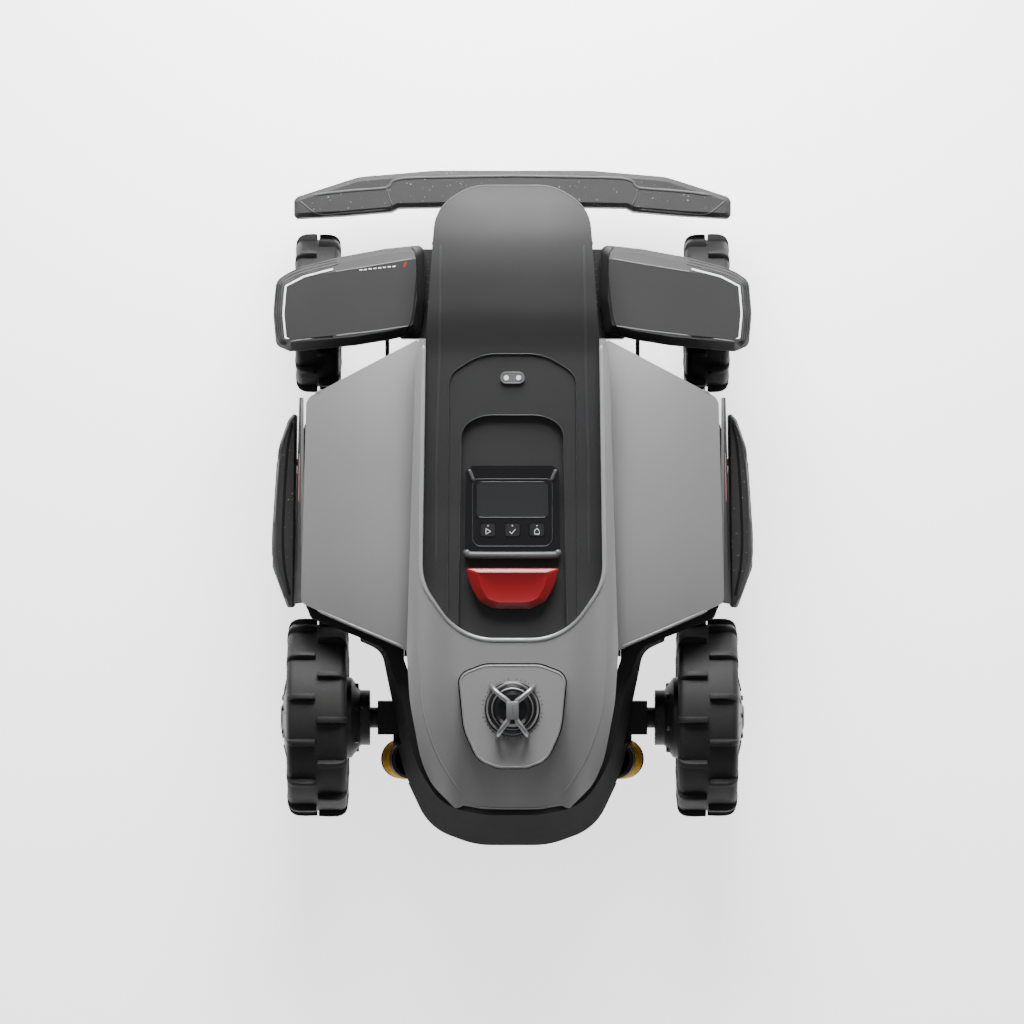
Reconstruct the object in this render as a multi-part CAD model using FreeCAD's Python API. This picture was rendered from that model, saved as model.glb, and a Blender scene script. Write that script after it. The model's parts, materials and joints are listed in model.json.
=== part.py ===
"""Four-wheel-drive robotic lawn mower, built as an assembly.

The mower stands on the plane z = 0.  +Y points forward, +X to the mower's own right, +Z up, and the
origin lies on the ground under the middle of its bounding box.  Two steered front wheels hang from a
rocking front axle, two larger rear wheels sit on sprung trailing arms, and two blade discs hang from a
deck plate that a lead screw raises and lowers.  All sizes are millimetres.
"""
import FreeCAD
import Part
import math
import os
from FreeCAD import Vector

os.makedirs("parts", exist_ok=True)

# ---------------------------------------------------------------- driving sizes
wheelbase = 448.0
front_overhang = 158.0        # front axle to the front of the bumper
rear_overhang = 141.0         # rear axle to the tail
track = 430.0                 # between the middles of two opposite tyres
rear_wheel_r = 110.0
rear_tyre_w = 67.0
front_wheel_r = 88.5
front_tyre_w = 50.0

body_half_w = 232.0           # to the top edge of a wing panel
wing_flare = 10.0             # how far a wing's side wall leans out
spine_half_w = 98.0           # the black spine at its widest
nose_half_w = 84.0            # the nose under the head
head_top_z = 300.0
belly_z = 58.0                # ground clearance
tub_top_z = 118.0             # joint line between tub and lower housing
housing_top_z = 190.0         # joint line between lower housing and covers
wall = 3.0

blade_tip_r = 98.0
cut_height = 50.0             # of the blades at rest
cut_lower = 20.0              # travel below rest
cut_raise = 40.0              # travel above rest

rock_limit = 4.0              # degrees each way
rear_bump = 8.0               # rise of a rear wheel at full bump
stop_travel = 4.0

running = 0.1                 # radial clearance of a turning or sliding fit
gap = 0.5                     # clearance between pieces that pass each other
seam = 0.4                    # joint line between two covers

# ---------------------------------------------------------------- places that follow
front_end = (front_overhang + wheelbase + rear_overhang) / 2
rear_end = -front_end
front_axle_y = front_end - front_overhang
rear_axle_y = front_axle_y - wheelbase
half_track = track / 2
sweep_r = math.hypot(front_wheel_r, front_tyre_w / 2) + 5.0      # room for a steered front wheel
sides = {"left": -1, "right": 1}


# ---------------------------------------------------------------- helpers
def box(x0, x1, y0, y1, z0, z1):
    """A block between the given faces, whichever order each pair comes in."""
    low = Vector(min(x0, x1), min(y0, y1), min(z0, z1))
    return Part.makeBox(abs(x1 - x0), abs(y1 - y0), abs(z1 - z0), low)


def rod(r, start, end):
    """A round bar from start to end."""
    a, b = Vector(*start), Vector(*end)
    return Part.makeCylinder(r, (b - a).Length, a, b - a)


def rounded(corners, z):
    """A closed wire at height z through (x, y, radius) corners, each rounded by its radius."""
    edges, arcs = [], []
    n = len(corners)
    for i, (x, y, r) in enumerate(corners):
        p = Vector(x, y, z)
        before = Vector(*corners[i - 1][:2], z) - p
        after = Vector(*corners[(i + 1) % n][:2], z) - p
        room = 0.48 * min(before.Length, after.Length)
        half = before.getAngle(after) / 2
        back = min(r / math.tan(half), room) if r > 0 else 0.0
        before.normalize()
        after.normalize()
        if back < 0.01:
            arcs.append((p, None, p))
            continue
        r = back * math.tan(half)
        middle = before + after
        middle.normalize()
        top = p + middle * (r / math.sin(half) - r)
        arcs.append((p + before * back, top, p + after * back))
    for i, (start, top, end) in enumerate(arcs):
        if top is not None:
            edges.append(Part.Arc(start, top, end).toShape())
        follow = arcs[(i + 1) % n][0]
        if (follow - end).Length > 0.01:
            edges.append(Part.LineSegment(end, follow).toShape())
    return Part.Wire(edges)


def mirrored(half):
    """The whole outline from its +X half, given from the front to the rear."""
    return list(half) + [(-x, y, r) for x, y, r in reversed(half) if x > 0]


def prism(corners, z0, z1):
    """The outline standing from z0 to z1."""
    return Part.Face(rounded(corners, z0)).extrude(Vector(0, 0, z1 - z0))


def tapered(low, z0, high, z1):
    """A body that changes from one outline to another with as many corners."""
    return Part.makeLoft([rounded(low, z0), rounded(high, z1)], True, True)


def inset(corners, by):
    """The outline moved in by the same distance all round; its corners run clockwise from above."""
    moved = []
    n = len(corners)
    area = sum(corners[i - 1][0] * corners[i][1] - corners[i][0] * corners[i - 1][1] for i in range(n))
    turn = 1 if area > 0 else -1
    for i, (x, y, r) in enumerate(corners):
        p = Vector(x, y, 0)
        u = p - Vector(*corners[i - 1][:2], 0)
        v = Vector(*corners[(i + 1) % n][:2], 0) - p
        u.normalize()
        v.normalize()
        nu, nv = Vector(-u.y, u.x, 0) * turn, Vector(-v.y, v.x, 0) * turn
        middle = nu + nv
        step = middle * (by / (1 + nu.dot(nv)))
        moved.append((x + step.x, y + step.y, max(r - by, 0.0) if r > by else r * 0.5))
    return moved


def turned(profile, centre, axis=Vector(1, 0, 0)):
    """A body of revolution about an axis through centre; the profile is (along, radius) pairs."""
    across = Vector(0, 0, 1) if abs(axis.z) < 0.5 else Vector(0, 1, 0)
    points = [centre + axis * a + across * r for a, r in profile]
    face = Part.Face(Part.makePolygon(points + [points[0]]))
    return face.revolve(centre, axis, 360)


def below(height, x_half, y0, y1, depth=400.0, across=9, along=13):
    """Everything under the surface z = height(x, y), over the given rectangle."""
    xs = [-x_half + 2 * x_half * i / (across - 1) for i in range(across)]
    ys = [y0 + (y1 - y0) * j / (along - 1) for j in range(along)]
    surface = Part.BSplineSurface()
    surface.interpolate([[Vector(x, y, height(x, y)) for y in ys] for x in xs])
    return surface.toShape().extrude(Vector(0, 0, -depth))


def fused(shapes):
    """The shapes joined into one solid."""
    whole = shapes[0].fuse(shapes[1:]) if len(shapes) > 1 else shapes[0]
    return whole.removeSplitter()


def both_sides(shape):
    """A shape and its mirror image, as two separate solids."""
    return Part.makeCompound([shape, shape.mirror(Vector(0, 0, 0), Vector(1, 0, 0))])


def flip(shape, side):
    """The shape, modelled on the +X side, on the asked side."""
    return shape if side > 0 else shape.mirror(Vector(0, 0, 0), Vector(1, 0, 0))


def smooth(a, b, t):
    """Moves from a to b as t goes from 0 to 1, level at both ends."""
    t = min(max(t, 0.0), 1.0)
    return a + (b - a) * t * t * (3 - 2 * t)


def path(points, at):
    """Straight-line interpolation through (place, value) pairs."""
    for (p0, v0), (p1, v1) in zip(points, points[1:]):
        if at <= p1:
            return v0 + (v1 - v0) * max(0.0, (at - p0) / (p1 - p0))
    return points[-1][1]


def save(name, shape):
    """Writes the solids of one node."""
    solids = shape.Solids
    for s in solids:
        if not s.isValid() or s.Volume <= 0:
            raise ValueError(f"{name} has a bad solid")
    Part.makeCompound(solids).exportStep(f"parts/{name}.step")
    print(f"{name:22s} {len(solids):3d} solids {sum(s.Volume for s in solids) / 1000:9.1f} cm3")


# ---------------------------------------------------------------- outer surfaces
spine_rear_y = rear_axle_y + 89.0
spine_front_y = front_axle_y + 136.0
shoulder_y = front_axle_y - 35.0              # where wings and spine meet at the front
console_y = front_axle_y - 49.0               # front arch of the console
deck_z = 238.0                                # grey cover beside the console
wing_edge_z = 206.0


def spine_height(x, y):
    """Top of the black spine: a raised head that falls away to the console and the well."""
    centre = path([(spine_rear_y - 20, deck_z - 3), (spine_rear_y, deck_z - 2), (0.0, deck_z + 12),
                   (console_y, head_top_z - 24), (front_axle_y, head_top_z - 6),
                   (front_axle_y + 50, head_top_z), (front_axle_y + 90, head_top_z - 5),
                   (spine_front_y - 14, head_top_z - 20), (spine_front_y + 10, head_top_z - 40)], y)
    return centre - 14.0 * (x / spine_half_w) ** 2


def wing_height(x, y):
    """Top of the grey wings: they fall outwards and arch from front to rear."""
    s = max(0.0, (abs(x) - spine_half_w) / (body_half_w - spine_half_w))
    middle = (shoulder_y + spine_rear_y) / 2
    half = (shoulder_y - spine_rear_y) / 2
    return deck_z - (deck_z - wing_edge_z) * s ** 2.4 - 8.0 * abs((y - middle) / half) ** 3


def tail_height(x, y):
    """Top of the grey tail cover: it slopes down to the rear and rolls over at the sides."""
    t = (spine_rear_y - y) / (spine_rear_y - rear_end)
    return deck_z - 10.0 * t - 62.0 * max(0.0, t) ** 3 - 17.0 * (x / 115.0) ** 4


# ---------------------------------------------------------------- plan outlines, +X half, front to rear
spine_plan = mirrored([
    (46.0, spine_front_y, 60.0),
    (spine_half_w - 14.0, spine_front_y - 26.0, 46.0),
    (spine_half_w - 4.0, shoulder_y + 8.0, 0.0),
    (spine_half_w, spine_rear_y + 62.0, 60.0),
    (56.0, spine_rear_y + 1.0, 70.0),
])
wing_inner_x = spine_half_w + 8.0
wing_plan = [
    (spine_half_w + 4.0, shoulder_y + 4.0, 2.0),
    (body_half_w - 6.0, shoulder_y - 61.0, 14.0),
    (body_half_w, rear_axle_y + 128.0, 8.0),
    (wing_inner_x + 10.0, rear_axle_y + 76.0, 0.0),
    (wing_inner_x, shoulder_y - 20.0, 0.0),
]
tail_plan = mirrored([
    (spine_half_w + 4.0 - seam, shoulder_y + 3.0, 0.0),
    (spine_half_w + 8.0 - seam, shoulder_y - 20.0, 0.0),
    (wing_inner_x + 10.0 - seam, rear_axle_y + 76.0, 0.0),
    (spine_half_w + 14.0, rear_axle_y + 20.0, 200.0),
    (100.0, rear_axle_y - 44.0, 120.0),
    (88.0, rear_axle_y - 71.0, 60.0),
    (62.4, rear_axle_y - 98.1, 3.0),
    (54.0, rear_axle_y - 94.6, 4.0),
    (32.0, rear_axle_y - 98.5, 60.0),
])
housing_plan = mirrored([
    (spine_half_w, shoulder_y - 12.0, 0.0),
    (body_half_w - 14.0, shoulder_y - 64.0, 12.0),
    (body_half_w - 5.0, rear_axle_y + 124.0, 10.0),
    (body_half_w - 8.0, rear_axle_y + 109.0, 6.0),
    (146.0, rear_axle_y + 72.0, 22.0),
    (139.5, rear_axle_y + 22.0, 200.0),
    (122.0, rear_axle_y - 58.0, 150.0),
    (92.0, rear_axle_y - 122.0, 60.0),
    (40.0, rear_end, 90.0),
])
housing_top = mirrored([
    (spine_half_w, shoulder_y - 12.0, 0.0),
    (body_half_w - 14.0, shoulder_y - 64.0, 12.0),
    (body_half_w - 5.0, rear_axle_y + 124.0, 10.0),
    (body_half_w - 12.0, rear_axle_y + 112.0, 6.0),
    (140.0, rear_axle_y + 78.0, 22.0),
    (121.0, rear_axle_y + 22.0, 200.0),
    (108.0, rear_axle_y - 48.0, 150.0),
    (76.0, rear_axle_y - 96.0, 60.0),
    (30.0, rear_end + 36.0, 90.0),
])

# Space that the wheels need: a rear arch on each side, and the circle of a steered front wheel.
arch_inner_x = half_track - rear_tyre_w / 2 - 14.0
arch_z = rear_wheel_r + rear_bump / 2
arch_r = rear_wheel_r + rear_bump / 2 + 3.0
rear_arch = both_sides(rod(arch_r, (arch_inner_x, rear_axle_y, arch_z), (half_track + 60, rear_axle_y, arch_z)))
front_arch = both_sides(rod(sweep_r, (half_track, front_axle_y, 0),
                            (half_track, front_axle_y, front_wheel_r + 44.0)))


def clear_of_wheels(shape):
    """The shape with both wheel spaces taken out."""
    for arch in rear_arch.Solids + front_arch.Solids:
        shape = shape.cut(arch)
    return shape


# ---------------------------------------------------------------- cutter positions
disc_x = 112.0
disc_y = (rear_axle_y + rear_wheel_r + front_axle_y - sweep_r) / 2      # midway between the wheels
opening_r = blade_tip_r + 6.0
deck_plate_z = belly_z + 4.0 + 4.0 + cut_lower
disc_z = cut_height
screw_y = disc_y + 74.0

# ---------------------------------------------------------------- lower tub
side_x = body_half_w - 1.0
tub_front_y = front_axle_y - sweep_r - 2.0
tub_rear_y = rear_axle_y + rear_wheel_r + 6.0
tub_plan = mirrored([
    (nose_half_w - 10.0, front_axle_y + 88.0, 20.0),
    (nose_half_w - 4.0, front_axle_y - 40.0, 0.0),
    (nose_half_w + 20.0, tub_front_y + 22.0, 14.0),
    (side_x - 40.0, tub_front_y, 30.0),
    (side_x, tub_front_y - 20.0, 20.0),
    (side_x, tub_rear_y + 8.0, 14.0),
    (side_x - 30.0, tub_rear_y, 20.0),
    (112.0, tub_rear_y - 18.0, 20.0),
    (94.0, tub_rear_y - 44.0, 20.0),
    (92.0, rear_axle_y - 66.0, 40.0),
    (60.0, rear_axle_y - 110.0, 40.0),
])
tub = prism(tub_plan, belly_z, tub_top_z)
tub = tub.cut(prism(inset(tub_plan, wall), belly_z + 4.0, tub_top_z + 1))
for side in (-1, 1):
    tub = tub.cut(rod(opening_r, (side * disc_x, disc_y, belly_z - 1), (side * disc_x, disc_y, belly_z + 5)))
# Posts that guide the deck plate, and the foot bearing of the lead screw.
guide_r = 5.0
guide_y = disc_y - 74.0
screw_r = 6.0
tub = fused([tub,
             rod(guide_r, (0, guide_y, belly_z + 2), (0, guide_y, housing_top_z - 14)),
             rod(screw_r + 5, (0, screw_y, belly_z + 2), (0, screw_y, belly_z + 8))])
tub = tub.cut(rod(screw_r + running, (0, screw_y, belly_z + 4), (0, screw_y, belly_z + 9)))

# Ears that carry the trailing arms' pivots, and a shelf for each spring cap.
arm_pivot = Vector(0, rear_axle_y + 82.0, rear_wheel_r + 2.0)
arm_x = 126.0                                  # middle of the trailing arm's plate
arm_t = 12.0
pivot_r = 7.0
spring_y = rear_axle_y - 46.5
spring_r = 22.5
spring_top = Vector(114.0, spring_y, 112.0)
spring_foot = Vector(124.0, spring_y, 78.0)
spring_axis = (spring_top - spring_foot).normalize()
for side in (-1, 1):
    ear = fused([box(side * 84, side * (arm_x - arm_t / 2 - gap), arm_pivot.y - 14, arm_pivot.y + 14,
                     98, arm_pivot.z + 14),
                 rod(pivot_r, (side * 100, arm_pivot.y, arm_pivot.z),
                     (side * (arm_x + arm_t / 2 + 3), arm_pivot.y, arm_pivot.z))])
    shelf = box(side * 86, side * 112, spring_y - 16, spring_y + 16, 108, 116)
    tub = fused([tub, ear, shelf])
# Towers and the long pin that the front axle rocks on, and holes for the bumpers' guide pins.
rocker_z = 162.0
rocker_r = 8.0
beam_y0 = front_axle_y - 30.0
beam_y1 = front_axle_y + 68.0
guide_pin_r = 4.0
guide_pin_z = 95.0
for y in (beam_y0 - 14, beam_y1 + 2):
    tub = tub.fuse(box(-14, 14, y, y + 12, belly_z + 2, rocker_z + 14))
tub = tub.fuse(rod(rocker_r, (0, beam_y0 - 10, rocker_z), (0, beam_y1 + 10, rocker_z)))
bumper_pin_x = 50.0
side_pin_y = 60.0
for side in (-1, 1):
    x = side * bumper_pin_x
    tub = tub.cut(rod(guide_pin_r + running, (x, beam_y1 - 20, guide_pin_z), (x, front_end, guide_pin_z)))
    for y in (-side_pin_y, side_pin_y - 10):
        tub = tub.cut(rod(guide_pin_r + running, (side * (side_x - 12), y, guide_pin_z),
                          (side * (side_x + 30), y, guide_pin_z)))
# The battery's doorway.
door_x, door_y0, door_y1 = 62.0, rear_axle_y - 72.0, rear_axle_y + 18.0
tub = tub.cut(box(-door_x, door_x, door_y0, door_y1, belly_z - 1, belly_z + 5))
save("chassis_tub", clear_of_wheels(tub).removeSplitter())

# ---------------------------------------------------------------- lower housing
housing = tapered(housing_plan, tub_top_z, housing_top, housing_top_z)
hollow = tapered(inset(housing_plan, wall), tub_top_z - 1, inset(housing_top, wall), housing_top_z + 1)
housing = housing.cut(hollow)
foot_ring = prism(inset(housing_plan, 2.3), tub_top_z, tub_top_z + wall).cut(
    prism(inset(tub_plan, wall), tub_top_z - 1, tub_top_z + wall + 1))
top_ring = prism(inset(housing_top, 1.0), housing_top_z - wall, housing_top_z).cut(
    prism(inset(housing_top, 16.0), housing_top_z - wall - 1, housing_top_z + 1))
housing = housing.fuse([foot_ring, top_ring])
housing = clear_of_wheels(housing)
for side in (-1, 1):
    housing = housing.cut(box(side * 80, side * (arm_x + arm_t / 2 + 8), arm_pivot.y - 22, arm_pivot.y + 22,
                              90, arm_pivot.z + 24))
    housing = housing.cut(box(side * 113, side * 170, rear_axle_y - 28, arm_pivot.y + 22, 90, rear_wheel_r + 32))
    housing = housing.cut(rod(spring_r + 3, (side * spring_top.x, spring_y, 90),
                              (side * spring_top.x, spring_y, tub_top_z + wall + 1)))
    housing = housing.cut(box(side * 96, side * 160, spring_y - 24, rear_axle_y, 90, tub_top_z + wall + 1))
# Each stay of the axle reaches in through a hole wide enough for it to rock.
stay_x, stay_r = 137.5, 2.25
stay_end_y, stay_z = tub_front_y + 26.0, 172.0
plate_low = front_wheel_r * 2 + 9.0
stay_slope = (plate_low + 4 - stay_z) / (front_axle_y - stay_end_y)
stay_hole = stay_r + 1.0 + stay_x * math.sin(math.radians(rock_limit))
stay_room = both_sides(rod(stay_hole, (stay_x, stay_end_y - 3, stay_z - 3 * stay_slope),
                           (stay_x, stay_end_y + 30, stay_z + 30 * stay_slope)))
housing = housing.cut(stay_room)
tower_room = box(-18, 18, beam_y0 - 18, beam_y0, 100, 200)
housing = max(housing.cut(tower_room).Solids, key=lambda s: s.Volume)
save("lower_housing", housing)

# ---------------------------------------------------------------- grey covers
spine_room = prism([(x * 1.0, y, r) for x, y, r in inset(spine_plan, -seam)], 150, 340)


def cover(plan, height, lowest):
    """A skin under a curved top with a rim all round that stands on the housing."""
    outside = prism(plan, lowest, 300).common(below(height, 260, rear_end - 40, shoulder_y + 60))
    under = prism(inset(plan, wall), lowest - 1, 300).common(
        below(lambda x, y: height(x, y) - wall, 260, rear_end - 40, shoulder_y + 60))
    return outside.cut(under)


tail = cover(tail_plan, tail_height, housing_top_z).cut(spine_room)
arms_edge = prism(inset(spine_plan, -seam - 2.0), housing_top_z, 300).cut(spine_room)
tail = tail.fuse(arms_edge.common(prism(tail_plan, housing_top_z, 300)).common(
    below(tail_height, 260, rear_end - 40, shoulder_y + 60)))
platform_plan = mirrored([
    (30.0, rear_axle_y + 61.0, 30.0),
    (59.0, rear_axle_y + 50.0, 14.0),
    (53.0, rear_axle_y - 10.0, 60.0),
    (38.0, rear_axle_y - 44.0, 26.0),
    (16.0, rear_axle_y - 52.5, 20.0),
])
platform_z = deck_z - 1.0
scan_y = rear_axle_y + 12.5
tail = tail.cut(prism(inset(platform_plan, -seam), 200, 260))
save("tail_cover", max(tail.Solids, key=lambda s: s.Volume))

# A wing panel: the skin, and a side wall that flares out below its outer edge.
side_plan_top = [
    (body_half_w, rear_axle_y + 352.0, 0.0),
    (body_half_w, rear_axle_y + 128.0, 4.0),
    (body_half_w - wall, rear_axle_y + 128.0, 0.0),
    (body_half_w - wall, rear_axle_y + 352.0, 0.0),
]
flare = [0.35 * wing_flare, wing_flare, wing_flare, 0.35 * wing_flare]
side_plan_low = [(x + d, y + (2.0 if y > 0 else -2.0), r) for (x, y, r), d in zip(side_plan_top, flare)]
wing_top_low = 191.0
side_wall_z = 128.0
wing = cover(wing_plan, wing_height, housing_top_z)
side_wall = tapered(side_plan_low, side_wall_z, side_plan_top, wing_top_low)
wing = fused([wing.cut(spine_room).cut(stay_room), side_wall])
wing = clear_of_wheels(max(wing.Solids, key=lambda s: s.Volume))
for name, side in sides.items():
    save(f"wing_{name}", flip(wing, side))

# ---------------------------------------------------------------- black spine, its recesses and what sits in them
top_y0, top_y1 = spine_rear_y - 30, spine_front_y + 30
spine_low = 203.0
nose_low = 132.0
nose_y = beam_y1 + 4.0


def under_spine(drop):
    """Everything lower than the spine's surface sunk by drop."""
    return below(lambda x, y: spine_height(x, y) - drop, 120, top_y0, top_y1, 400.0, 7, 27)


arch_plan = mirrored([
    (34.0, console_y, 60.0),
    (69.0, console_y - 22.0, 20.0),
    (71.0, spine_rear_y - 20.0, 0.0),
])
well_plan = mirrored([
    (34.0, 100.0, 50.0),
    (55.0, 88.0, 24.0),
    (60.0, spine_rear_y - 20.0, 0.0),
])
arch_depth = 2.0
well_depth = 9.0
spine = prism(spine_plan, nose_low, 330).common(under_spine(0.0))
spine = spine.cut(box(-150, 150, top_y0, nose_y, 100, spine_low))
room = prism(inset(spine_plan, wall), nose_low - 1, 330)
spine = spine.cut(room.common(under_spine(wall + arch_depth)).cut(prism(inset(well_plan, -wall), 100, 330)))
spine = spine.cut(room.common(under_spine(wall + well_depth)))
spine = spine.fuse(box(-spine_half_w + 10, spine_half_w - 10, nose_y, nose_y + wall, rocker_z + 15, 232))
spine = spine.cut(prism(arch_plan, 100, 400).cut(under_spine(arch_depth)))
spine = spine.cut(prism(well_plan, 100, 400).cut(under_spine(well_depth)))
camera_z0, camera_z1, camera_x = 206.0, 234.0, 34.0
camera_front = spine_front_y - 2.5
spine = spine.cut(box(-camera_x, camera_x, camera_front, spine_front_y + 5, camera_z0, camera_z1))

stop_y0, stop_y1 = spine_rear_y + 33.0, spine_rear_y + 77.0
stop_plan = mirrored([
    (51.0, stop_y1, 2.0),
    (45.5, stop_y0 + 23.0, 40.0),
    (36.0, stop_y0 + 8.0, 12.0),
    (20.0, stop_y0, 20.0),
])
stop_stem = (0.0, (stop_y0 + stop_y1) / 2)
key_y = rear_axle_y + 208.0
key_pitch = 26.7
keys = {"play": -key_pitch, "ok": 0.0, "home": key_pitch}
stem_r, key_stem_r = 6.0, 3.0
spine = spine.cut(rod(stem_r + running, (*stop_stem, 200), (*stop_stem, 300)))
for x in keys.values():
    spine = spine.cut(rod(key_stem_r + 1, (x, key_y, 200), (x, key_y, 300)))
spine = max(spine.Solids, key=lambda s: s.Volume)
save("spine_cover", spine)
window = prism(spine_plan, camera_z0 + 0.3, camera_z1 - 0.3).common(
    box(-camera_x + 0.3, camera_x - 0.3, camera_front, spine_front_y + 5, 100, 300))
save("camera_window", window)

tray_plan = mirrored([
    (44.0, 45.5, 3.0),
    (50.5, 40.0, 4.0),
    (52.0, stop_y1 + 11.0, 3.0),
])
tray_drop = 3.0
lcd = [(39.0, 27.3, 5.5), (39.0, -10.7, 5.5), (-39.0, -10.7, 5.5), (-39.0, 27.3, 5.5)]
key_shape = [(8.0, 7.0, 3.0), (8.0, -7.0, 3.0), (-8.0, -7.0, 3.0), (-8.0, 7.0, 3.0)]


def key_plan(x, grow):
    """The outline of the key centred at x, grown all round."""
    return [(x + cx + math.copysign(grow, cx), key_y + cy + math.copysign(grow, cy), r)
            for cx, cy, r in key_shape]


tray = prism(tray_plan, 180, 330).common(under_spine(tray_drop)).cut(under_spine(well_depth))
tray = tray.cut(prism(inset(lcd, -0.2), 100, 400).cut(under_spine(tray_drop + 2.0)))
for x in keys.values():
    tray = tray.cut(prism(key_plan(x, gap), 100, 400).cut(under_spine(tray_drop + 3.5)))
    tray = tray.cut(rod(key_stem_r + running, (x, key_y, 200), (x, key_y, 300)))
save("control_tray", tray)
save("display_window", prism(lcd, 180, 330).common(under_spine(tray_drop)).cut(under_spine(tray_drop + 2.0)))
for name, x in keys.items():
    cap = prism(key_plan(x, 0.0), 180, 330).common(under_spine(tray_drop - 0.8)).cut(under_spine(tray_drop + 2.0))
    stem = rod(key_stem_r, (x, key_y, 200), (x, key_y, 280))
    stem = stem.common(under_spine(tray_drop)).cut(under_spine(well_depth + 1.0))
    save(f"key_{name}", fused([cap, stem]))
stop = prism(stop_plan, 180, 330).common(under_spine(-5.0)).cut(under_spine(well_depth - stop_travel - gap))
stem = rod(stem_r, (*stop_stem, 150), (*stop_stem, 300)).common(under_spine(0.0))
stem = stem.cut(under_spine(well_depth + 14.0))
save("stop_button", fused([stop, stem]))

sensor_y = front_axle_y - 74.5
sensor_plan = [(13.3, sensor_y + 6.6, 6.5), (13.3, sensor_y - 6.6, 6.5),
               (-13.3, sensor_y - 6.6, 6.5), (-13.3, sensor_y + 6.6, 6.5)]
sensor = prism(sensor_plan, 180, 330).common(under_spine(-1.0)).cut(under_spine(arch_depth))
contacts = [rod(2.75, (x, sensor_y, 200), (x, sensor_y, 320)) for x in (-6.7, 6.7)]
for c in contacts:
    sensor = sensor.cut(c)
save("rain_sensor", sensor)
rain_pins = [c.common(under_spine(-1.8)).cut(under_spine(arch_depth)) for c in contacts]

# Ventilation fins down each flank of the spine, between it and the fender.
fin_count = 10
fin_pitch = 7.4
fins = []
for i in range(fin_count):
    y = front_axle_y + 54.0 - fin_pitch * i
    edge = path([(shoulder_y + 8, spine_half_w - 4.0), (spine_front_y - 26, spine_half_w - 14.0)], y)
    fins.append(box(edge - 3.2, edge + 2.0, y - 1.2, y + 1.2, spine_low + 2, 240))
back = box(80, 83, front_axle_y - 18, front_axle_y + 60, spine_low + 2, 240)
strip = fused([back] + fins).cut(spine)
save("vent_fins", both_sides(max(strip.Solids, key=lambda s: s.Volume)))

# ---------------------------------------------------------------- scanner on the tail
scan = Vector(0, scan_y, 0)
up = Vector(0, 0, 1)
ring_r = 30.4
dome_r = 20.0
platform = prism(platform_plan, 208.0, platform_z).cut(prism(inset(platform_plan, wall), 207.0, platform_z - 4))
flange = prism(inset(platform_plan, -5.0), 190, 260).common(
    below(lambda x, y: tail_height(x, y) - wall - 0.05, 260, rear_end - 40, shoulder_y + 60, 2.5))
platform = fused([platform, flange.cut(prism(inset(platform_plan, wall), 150, 300))])
platform = platform.cut(rod(ring_r, (0, scan_y, platform_z - 2), (0, scan_y, platform_z + 5)))
platform = platform.cut(rod(5.0 + running, (0, scan_y, 200), (0, scan_y, 260)))
save("scanner_platform", platform)
bezel_r = ring_r - running
bezel_profile = [(platform_z - 2, dome_r + 0.05), (platform_z - 2, bezel_r), (platform_z + 2.5, bezel_r),
                 (platform_z + 3.5, 28.5), (platform_z + 3.0, 27.0), (platform_z + 5.0, 25.2),
                 (platform_z + 6.0, dome_r + 0.05)]
save("scanner_bezel", turned(bezel_profile, scan, up))
dome_z = platform_z + 22.0
dome = turned([(platform_z - 2, dome_r - 1.5), (platform_z - 2, dome_r), (dome_z - 6, dome_r - 0.5),
               (dome_z - 1.5, dome_r - 4), (dome_z, 0), (dome_z - 2, 0), (dome_z - 3.5, dome_r - 5),
               (dome_z - 7, dome_r - 2)], scan, up)
save("scanner_dome", dome)
rotor = fused([rod(14.0, (0, scan_y, platform_z + 1), (0, scan_y, platform_z + 15)),
               rod(5.0, (0, scan_y, platform_z - 14), (0, scan_y, platform_z + 2))])
rotor = rotor.cut(box(-15, 15, scan_y + 6, scan_y + 15, platform_z + 4, platform_z + 13))
save("scanner_rotor", rotor)

# The guard: a bar across the dome with four arms that step down to the platform.
guard_z = dome_z + 3.0
guard_t = 5.0
guard_ends = [(24.2, scan_y + 26.0), (17.2, scan_y - 31.0)]
parts = [prism(mirrored([(8.4, scan_y + 12.0, 2.0), (8.4, scan_y - 14.0, 2.0)]), guard_z, guard_z + guard_t)]
for x, y in guard_ends:
    start_y = scan_y + math.copysign(10.0, y - scan_y)
    for side in (-1, 1):
        a, b = Vector(side * 5.0, start_y, 0), Vector(side * x, y, 0)
        along = (b - a).normalize()
        across = Vector(-along.y, along.x, 0) * 3.2
        corners = [(p.x, p.y, 0.0) for p in (a + across, b + across, b - across, a - across)]
        parts.append(prism(corners, guard_z, guard_z + guard_t))
        parts.append(rod(3.2, (side * x, y, platform_z), (side * x, y, guard_z + guard_t)))
save("scanner_guard", fused(parts))

# ---------------------------------------------------------------- inside the tub
battery = prism([(58, door_y1 - 4, 5), (58, door_y0 + 4, 5), (-58, door_y0 + 4, 5), (-58, door_y1 - 4, 5)],
                belly_z + 5.0, tub_top_z + 8)
save("battery_pack", battery)
door = box(-door_x + 0.3, door_x - 0.3, door_y0 + 0.3, door_y1 - 0.3, belly_z, belly_z + 4)
door = fused([door, box(-door_x - 4, door_x + 4, door_y0 - 4, door_y1 + 4, belly_z + 4, belly_z + 5)])
save("battery_door", door)
board_y = rear_axle_y + 70.0
board = fused([box(-50, 50, board_y - 30, board_y + 18, 92, 94)]
              + [rod(4, (x, board_y + y, belly_z + 4), (x, board_y + y, 93))
                 for x in (-44, 44) for y in (-24, 12)]
              + [box(-30 + 22 * i, -16 + 22 * i, board_y - 18, board_y - 2, 93, 98) for i in range(3)])
save("main_board", board)
plates = []
for side in (-1, 1):
    plates.append(box(side * 26, side * 40, beam_y1 + 20 - 0.8, beam_y1 + 23, 104, 112))
save("contacts", Part.makeCompound([s for p in plates for s in p.cut(tub).Solids] + rain_pins))
screws = []
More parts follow.
